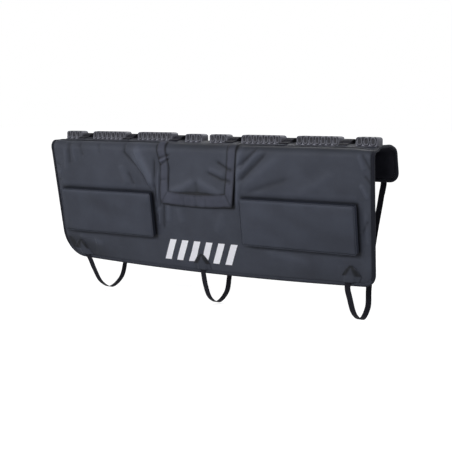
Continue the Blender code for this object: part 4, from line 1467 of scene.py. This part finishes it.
def block_ring(length, rise, end_inset, side_inset):
    """Outline of a block at a height share, as points and painted tones of light and shade."""
    lugs = max(1, round(length / LUG_PITCH))
    pitch = (length - 2 * BLOCK_CORNER) / lugs
    reach = BLOCK_DEPTH / 2 - LUG_GROOVE
    # Painted tone of the block's rounded ends, lighter towards the top
    plain_tone = 0.30 + 0.16 * rise
    back = []
    for k in range(lugs * LUG_POINTS + 1):
        depth, tone = lug_shape((k / LUG_POINTS) % 1.0, rise)
        x = -length / 2 + BLOCK_CORNER + k / LUG_POINTS * pitch
        back.append((x, BLOCK_DEPTH / 2 - LUG_GROOVE * depth, tone))
    for angle in (math.radians(90) * step / 12 for step in range(1, 13)):
        back.append((length / 2 - BLOCK_CORNER * (1 - math.sin(angle)),
                     reach + 0.003 - (BLOCK_CORNER + 0.004) * (1 - math.cos(angle)), plain_tone))
    arc = back[-12:]
    face = [(length / 2, y, plain_tone) for y in np.linspace(arc[-1][1], -arc[-1][1], 9)[1:-1]]
    ring = back + face + [(x, -y, t) for x, y, t in reversed(back)] + [(-x, -y, t) for x, y, t in arc]
    ring += [(-x, -y, t) for x, y, t in face] + [(-x, y, t) for x, y, t in reversed(arc)]
    narrow, thin = 1 - 2 * end_inset / length, 1 - 2 * side_inset / BLOCK_DEPTH
    return [(x * narrow, y * thin, t) for x, y, t in ring]


def rounded_inset(height, radius):
    """How far the block's rounded upper edge lies inwards of its wall."""
    rise = min(radius, max(0.0, height - (BLOCK_HEIGHT - radius)))
    return radius - math.sqrt(radius ** 2 - rise ** 2)


def make_block(name, node, x, length):
    base = PAD_THICKNESS + BASE_STRIP_THICKNESS + 2 * GAP - BLOCK_SINK - float(crown_sag(x))
    straight = BLOCK_HEIGHT - BLOCK_EDGE
    levels = [straight * k / (BLOCK_LEVELS - 1) for k in range(BLOCK_LEVELS)]
    levels += [straight + BLOCK_EDGE * math.sin(math.radians(18 * step)) for step in range(1, 6)]
    points, tones = [], []
    for height in levels:
        ring = block_ring(length, min(1.0, height / BLOCK_HEIGHT),
                          rounded_inset(height, BLOCK_END_ROUND), rounded_inset(height, BLOCK_EDGE))
        top = smooth_step(straight * 0.96, BLOCK_HEIGHT, height)
        for px, py, tone in ring:
            points.append((x + px, py, base + height))
            # Painted highlight along the top edge, weaker over the grooves
            groove = 0.8 if tone > 0.05 else 0.2
            tones.append(tone + (TOP_EDGE_HIGHLIGHT - tone) * float(top) * groove)
    rings = len(levels)
    count = len(ring)
    last = points[-count:]
    spine = length / 2 - TOP_SPINE_INSET
    for shrink in TOP_RINGS:
        for px, py, _ in last:
            middle = min(max(px - x, -spine), spine)
            points.append((x + middle + (px - x - middle) * shrink, py * shrink,
                           base + BLOCK_HEIGHT + TOP_SWELL * (1 - shrink ** 2)))
            tones.append(TOP_TONE)
        rings += 1
    faces = grid_faces(rings, count, closed=True)
    faces.append(tuple((rings - 1) * count + k for k in range(count)))
    faces.append(tuple(reversed(range(count))))
    block = add_mesh(name, points, faces, RUBBER)
    flip_outwards(block)
    set_values(block, "tone", tones)
    dress(block, "block_rubber", node)


def smooth_route(points, steps):
    """A smooth curve through the points, whose bends suit the length of each stretch."""
    slopes = [(b - a).normalized() for a, b in zip(points, points[1:])]
    lengths = [(b - a).length for a, b in zip(points, points[1:])]
    headings = [slopes[0]]
    for k in range(1, len(slopes)):
        before, after = lengths[k - 1], lengths[k]
        headings.append((slopes[k - 1] * after + slopes[k] * before) / (before + after))
    headings.append(slopes[-1])
    route = [points[0]]
    for k, length in enumerate(lengths):
        first = points[k] + headings[k] * length / 3
        second = points[k + 1] - headings[k + 1] * length / 3
        route += interpolate_bezier(points[k], first, second, points[k + 1], steps + 1)[1:]
    return route


def webbing(name, route, width, thickness, lift, material):
    """Flat woven strap along a route, its width along X, with rounded edges."""
    half, thick = width / 2, thickness / 2
    section = [(u * (half - thick), thick) for u in np.linspace(-1, 1, 7)]
    section += [(half - thick + thick * math.cos(a), thick * math.sin(a)) for a in np.radians((50, 0, -50))]
    section += [(u * (half - thick), -thick) for u in np.linspace(1, -1, 7)]
    section += [(-half + thick - thick * math.cos(a), thick * math.sin(a)) for a in np.radians((-50, 0, 50))]
    points, flat = [], []
    travelled = 0.0
    for j, spot in enumerate(route):
        before = route[max(0, j - 1)]
        after = route[min(len(route) - 1, j + 1)]
        along = (after - before).normalized()
        across = (Vector((1, 0, 0)) - along * along.x).normalized()
        outwards = across.cross(along)
        travelled += (spot - before).length
        for u, w in section:
            points.append(spot + across * u + outwards * (w + lift))
            flat.append((u + (0.001 if w > 0 else 0.0), travelled))
    strap = add_mesh(name, points, tube_faces(len(route), len(section)), material, flat)
    flip_outwards(strap)
    return strap


def make_frame_strap(name, node, x):
    lift = 2 * GAP + BASE_STRIP_THICKNESS + FRAME_STRAP_THICKNESS / 2
    seat = PAD_THICKNESS + lift - float(crown_sag(x))
    start = crown_length(-(CROWN_FLAT / 2 + SHOULDER_DEPTH * math.cos(FRAME_STRAP_ANGLE)))
    stop = crown_length(-CROWN_FLAT / 2 - 0.003)
    foot = [Vector(place_on(x, s, lift)) for s in np.linspace(start, stop, 3)]
    inner = CROWN_FLAT / 2
    top = seat + FRAME_STRAP_HUMP - FRAME_STRAP_THICKNESS
    rise = ((0.75, seat + FRAME_STRAP_HUMP * 0.45), (0.35, top - FRAME_STRAP_THICKNESS), (0.0, top))
    front = foot + [Vector((x, -inner * share, z)) for share, z in rise]
    back = [Vector((x, -point.y, point.z)) for point in reversed(front[:-1])]
    route = smooth_route(front + back, 6)
    strap = webbing(name, route, FRAME_STRAP_WIDTH, FRAME_STRAP_THICKNESS, 0.0, WEBBING)
    dress(strap, "webbing", node)


# Reach front and back of each folded layer under a frame strap, from the lowest up
FOLDED_LAYERS = (0.0235, 0.0215, 0.0165, 0.0105)
LAYER_PITCH = 0.0036


def make_folded_webbing(name, x):
    """The strap's spare end, folded to and fro and stowed under its bridge."""
    base = PAD_THICKNESS + GAP + BASE_STRIP_THICKNESS + FRAME_STRAP_THICKNESS / 2 + 0.0004
    base -= float(crown_sag(x))
    points = []
    for layer, reach in enumerate(FOLDED_LAYERS):
        sign = 1 if layer % 2 == 0 else -1
        for share in (-1.0, -0.5, 0.5, 1.0):
            points.append(Vector((x, sign * share * reach, base + LAYER_PITCH * layer)))
    spare = webbing(name, smooth_route(points, 5), FRAME_STRAP_WIDTH - 0.004,
                    FRAME_STRAP_THICKNESS, 0.0, WEBBING)
    dress(spare, "webbing")


def make_crown():
    make_base_strip()
    blocks = [(-x, length) for x, length in reversed(BLOCKS)] + list(BLOCKS)
    for number, (x, length) in enumerate(blocks, 1):
        make_block(f"rubber_block_{number}", f"bumper_block_{number}", x, length)
    gaps = [-x for x in reversed(STRAP_GAPS)] + list(STRAP_GAPS)
    for number, x in enumerate(gaps, 1):
        make_frame_strap(f"frame_webbing_{number}", f"frame_strap_{number}", x)
        make_folded_webbing(f"folded_webbing_{number}", x)


# Lower straps and their outlets

def leg_point(side, x, drop, offset):
    """A place off the straight front leg, side -1, or back leg, side 1, of the folded cover."""
    slope = FRONT_LEAN if side < 0 else BACK_FLARE
    out = Vector((0, side, side * slope)).normalized()
    return Vector((x, side * FOLD_DEPTH / 2 + slope * drop, FOLD_Z - drop)) + out * offset


def lower_strap_route(side):
    """From the slot over the tape, round a slack loop and up to the seam on the back flap."""
    seat = GAP + LOWER_STRAP_THICKNESS / 2
    over_tape = seat + BINDING_THICKNESS + 2 * GAP + STRAP_SLACK
    slot_x, hang = SLOT_PLACES[side], LOOP_HANGS[side]
    edge_x, low_x, rise_x, back_x = (slot_x + drift for drift in STRAP_DRIFTS[side])
    slot = slot_drop(slot_x)
    beyond = BINDING_ROUND + BINDING_THICKNESS
    edge = leg_point(-1, edge_x, slot + SLOT_RISE + beyond, over_tape)

    def hanging(first, second, share, back, fall):
        """A place on the loop: x between two places, y behind the edge, z below it."""
        return Vector((first * (1 - share) + second * share, edge.y + back, edge.z - fall))

    rear = leg_point(1, back_x, BACK_DROP + beyond, over_tape)
    return [
        leg_point(-1, slot_x, slot - OUTLET_HEIGHT / 4, seat),
        leg_point(-1, slot_x, slot + 0.004, seat),
        leg_point(-1, slot_x * 0.35 + edge_x * 0.65, slot + SLOT_RISE - BINDING_WIDTH - 0.006, over_tape),
        edge,
        hanging(edge_x, low_x, 0.45, -0.002, hang * 0.35),
        hanging(edge_x, low_x, 0.82, 0.018, hang * 0.80),
        hanging(low_x, low_x, 0.0, LOOP_DEPTH / 2, hang),
        hanging(low_x, rise_x, 0.5, LOOP_DEPTH - 0.008, hang * 0.72),
        hanging(rise_x, rise_x, 0.0, LOOP_DEPTH, hang * 0.25),
        hanging(rise_x, back_x, 0.3, LOOP_DEPTH, -FRONT_DROP * 0.25),
        rear + Vector((-0.005, -0.004, -REAR_TAB_HANG)),
        rear,
        leg_point(1, back_x, BACK_DROP - BINDING_WIDTH - 0.004, over_tape),
        leg_point(1, back_x, BACK_DROP - REAR_SEAM_LENGTH, seat),
    ]


STRAP_STEPS = 12
TAB_SPANS = 3


def box_stitches(route, lift, half):
    """A sewn box with a cross, along a stretch of strap."""
    points = np.array([tuple(p) for p in route])
    along = np.gradient(points, axis=0)
    along /= np.linalg.norm(along, axis=1)[:, None]
    across = np.array([1.0, 0, 0]) - along * along[:, :1]
    across /= np.linalg.norm(across, axis=1)[:, None]
    up = np.cross(across, along)
    share = np.linspace(-1, 1, len(points))[:, None]
    sign = math.copysign(1.0, lift)
    runs = []
    for line in (np.full_like(share, -1.0), np.full_like(share, 1.0), share, -share):
        runs.append((points + across * half * line + up * lift, up * sign))
    for end in (0, -1):
        row = np.array([points[end] + across[end] * half * u + up[end] * lift for u in np.linspace(-1, 1, 8)])
        runs.append((row, np.repeat(up[end][None] * sign, 8, 0)))
    return runs


def make_lower_straps():
    thickness = LOWER_STRAP_THICKNESS
    stitch_lift, stitch_half = -thickness * 1.5 - GAP, LOWER_STRAP_WIDTH / 2 - 0.003
    for side, drifts in STRAP_DRIFTS.items():
        route = smooth_route(lower_strap_route(side), STRAP_STEPS)
        strap = webbing(f"lower_webbing_{side}", route, LOWER_STRAP_WIDTH, thickness, 0.0, WEBBING)
        dress(strap, "webbing", f"lower_strap_{side}")
        rear = route[-STRAP_STEPS * TAB_SPANS - 1:]
        tab = webbing(f"rear_webbing_{side}", rear, LOWER_STRAP_WIDTH, thickness, -thickness - GAP, WEBBING)
        dress(tab, "webbing", f"rear_tab_{side}")
        runs = []
        for stretch in (rear[-STRAP_STEPS + 1:-1], rear[2:STRAP_STEPS - 2]):
            runs += box_stitches(stretch, stitch_lift, stitch_half)
        make_stitches(f"strap_stitches_{side}", runs, "webbing")
        make_outlet(f"outlet_patch_{side}", f"strap_outlet_{side}", SLOT_PLACES[side], drifts[0])


OUTLET_ROWS, OUTLET_COLUMNS = 26, 57
SLEEVE_ROOM = 0.0014
# The two slits, painted shade, run down and apart from this height above the slot, as far as this
SLIT_TOP, SLIT_LENGTH = 0.031, 0.044


def make_outlet(name, node, x, drift):
    """Arched sleeve of the cover's fabric over the slot, with painted shade for the slits beside the webbing
    in it.
    """
    half = OUTLET_WIDTH / 2
    clear = LOWER_STRAP_WIDTH / 2 + 2 * GAP
    columns = np.linspace(-half * 0.985, half * 0.985, OUTLET_COLUMNS)
    u, v = np.meshgrid(columns, np.linspace(0, 1, OUTLET_ROWS))
    slot = slot_drop(x)
    foot = slot + SLOT_RISE - BINDING_WIDTH - 0.0022
    shift = 0.65 * drift * (1 - v) ** 1.2
    arch = slot + OUTLET_HEIGHT / 4 - OUTLET_HEIGHT * (1 - np.abs(u / half) ** 1.8)
    across = (x + u + shift) / (PAD_WIDTH / 2)
    lower = foot + front_edge_drop(across) - float(front_edge_drop(np.array(x / (PAD_WIDTH / 2))))
    drop = lower + (arch - lower) * v
    channel = smooth_step(clear + 0.016, clear + 0.001, np.abs(u))
    channel = channel * smooth_step(slot - 0.026, slot - 0.013, drop)
    climb = smooth_step(slot + 0.002, foot - 0.010, drop) * (BINDING_THICKNESS + 2 * GAP + STRAP_SLACK)
    lift = GAP + channel * (LOWER_STRAP_THICKNESS + GAP + SLEEVE_ROOM + climb)
    points = place_on(x + u + shift, -drop * FRONT_SLOPE, lift)
    patch = add_mesh(name, points.reshape(-1, 3), grid_faces(*u.shape), OUTLET_FABRIC,
                     flat_places(x + u + shift, -drop))
    # Painted shade in the two slits beside the webbing, with no opening in the mesh
    down = drop - slot + SLIT_TOP
    slant = np.abs(np.abs(u) - 0.80 * down) / (0.0065 + 0.20 * down)
    slit_shade = np.exp(-slant ** 4) * smooth_step(SLIT_LENGTH, SLIT_LENGTH - 0.006, down) * (down > 0)
    shade_points(patch, -1.0 * slit_shade)
    add_thickness(patch, OUTLET_THICKNESS, 1)
    dress(patch, "hem", node)


# Build

THREAD = thread()
PANEL_FABRIC = coated_fabric("panel_fabric", PANEL_COLOUR, "Object").material
SHADED_WALL_FABRIC = coated_fabric("shaded_panel_wall_fabric", SHADED_WALL_COLOUR, "Object", 0.7).material
LIT_SIDE_WALL_FABRIC = coated_fabric("lit_side_wall_fabric", LIT_SIDE_WALL_COLOUR, "Object", 0.7).material
PIPING_FABRIC = coated_fabric("piping_fabric", PANEL_COLOUR).material
HEM_FABRIC = coated_fabric("hem_fabric", HEM_COLOUR).material
FLAP_FABRIC = coated_fabric("flap_fabric", COVER_COLOUR).material
STRIP_FABRIC = coated_fabric("strip_fabric", STRIP_COLOUR).material
OUTLET_FABRIC = coated_fabric("outlet_fabric", tinted(COVER_COLOUR, 0.85), "UV", 0.6).material
WEBBING = woven_webbing("webbing", WEBBING_COLOUR)
RUBBER = block_rubber()

bpy.context.scene.view_settings.view_transform = "Standard"
make_camera()
make_world(AMBIENT)
for lamp in LAMPS:
    add_area_light(*lamp)
make_floor(cad_box[0].z - 0.002)

cover = make_cover()
make_foam()
lining = make_lining()
binding = make_binding()
edge_stitches = make_edge_stitches()
for side in PANEL_MIDDLES:
    make_impact_pad(f"impact_pad_{side}", f"{side}_impact_panel", side)
    make_pad_piping(f"pad_piping_{side}", side)
flap = make_flap()
hem = make_hem()
flap_stitches = make_flap_stitches()
make_crown()
make_lower_straps()
tape_finish = hook_and_loop()
for node in ("flap_hook_tape", "flap_loop_tape"):
    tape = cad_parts[node]
    tape.data.materials.clear()
    tape.data.materials.append(tape_finish)
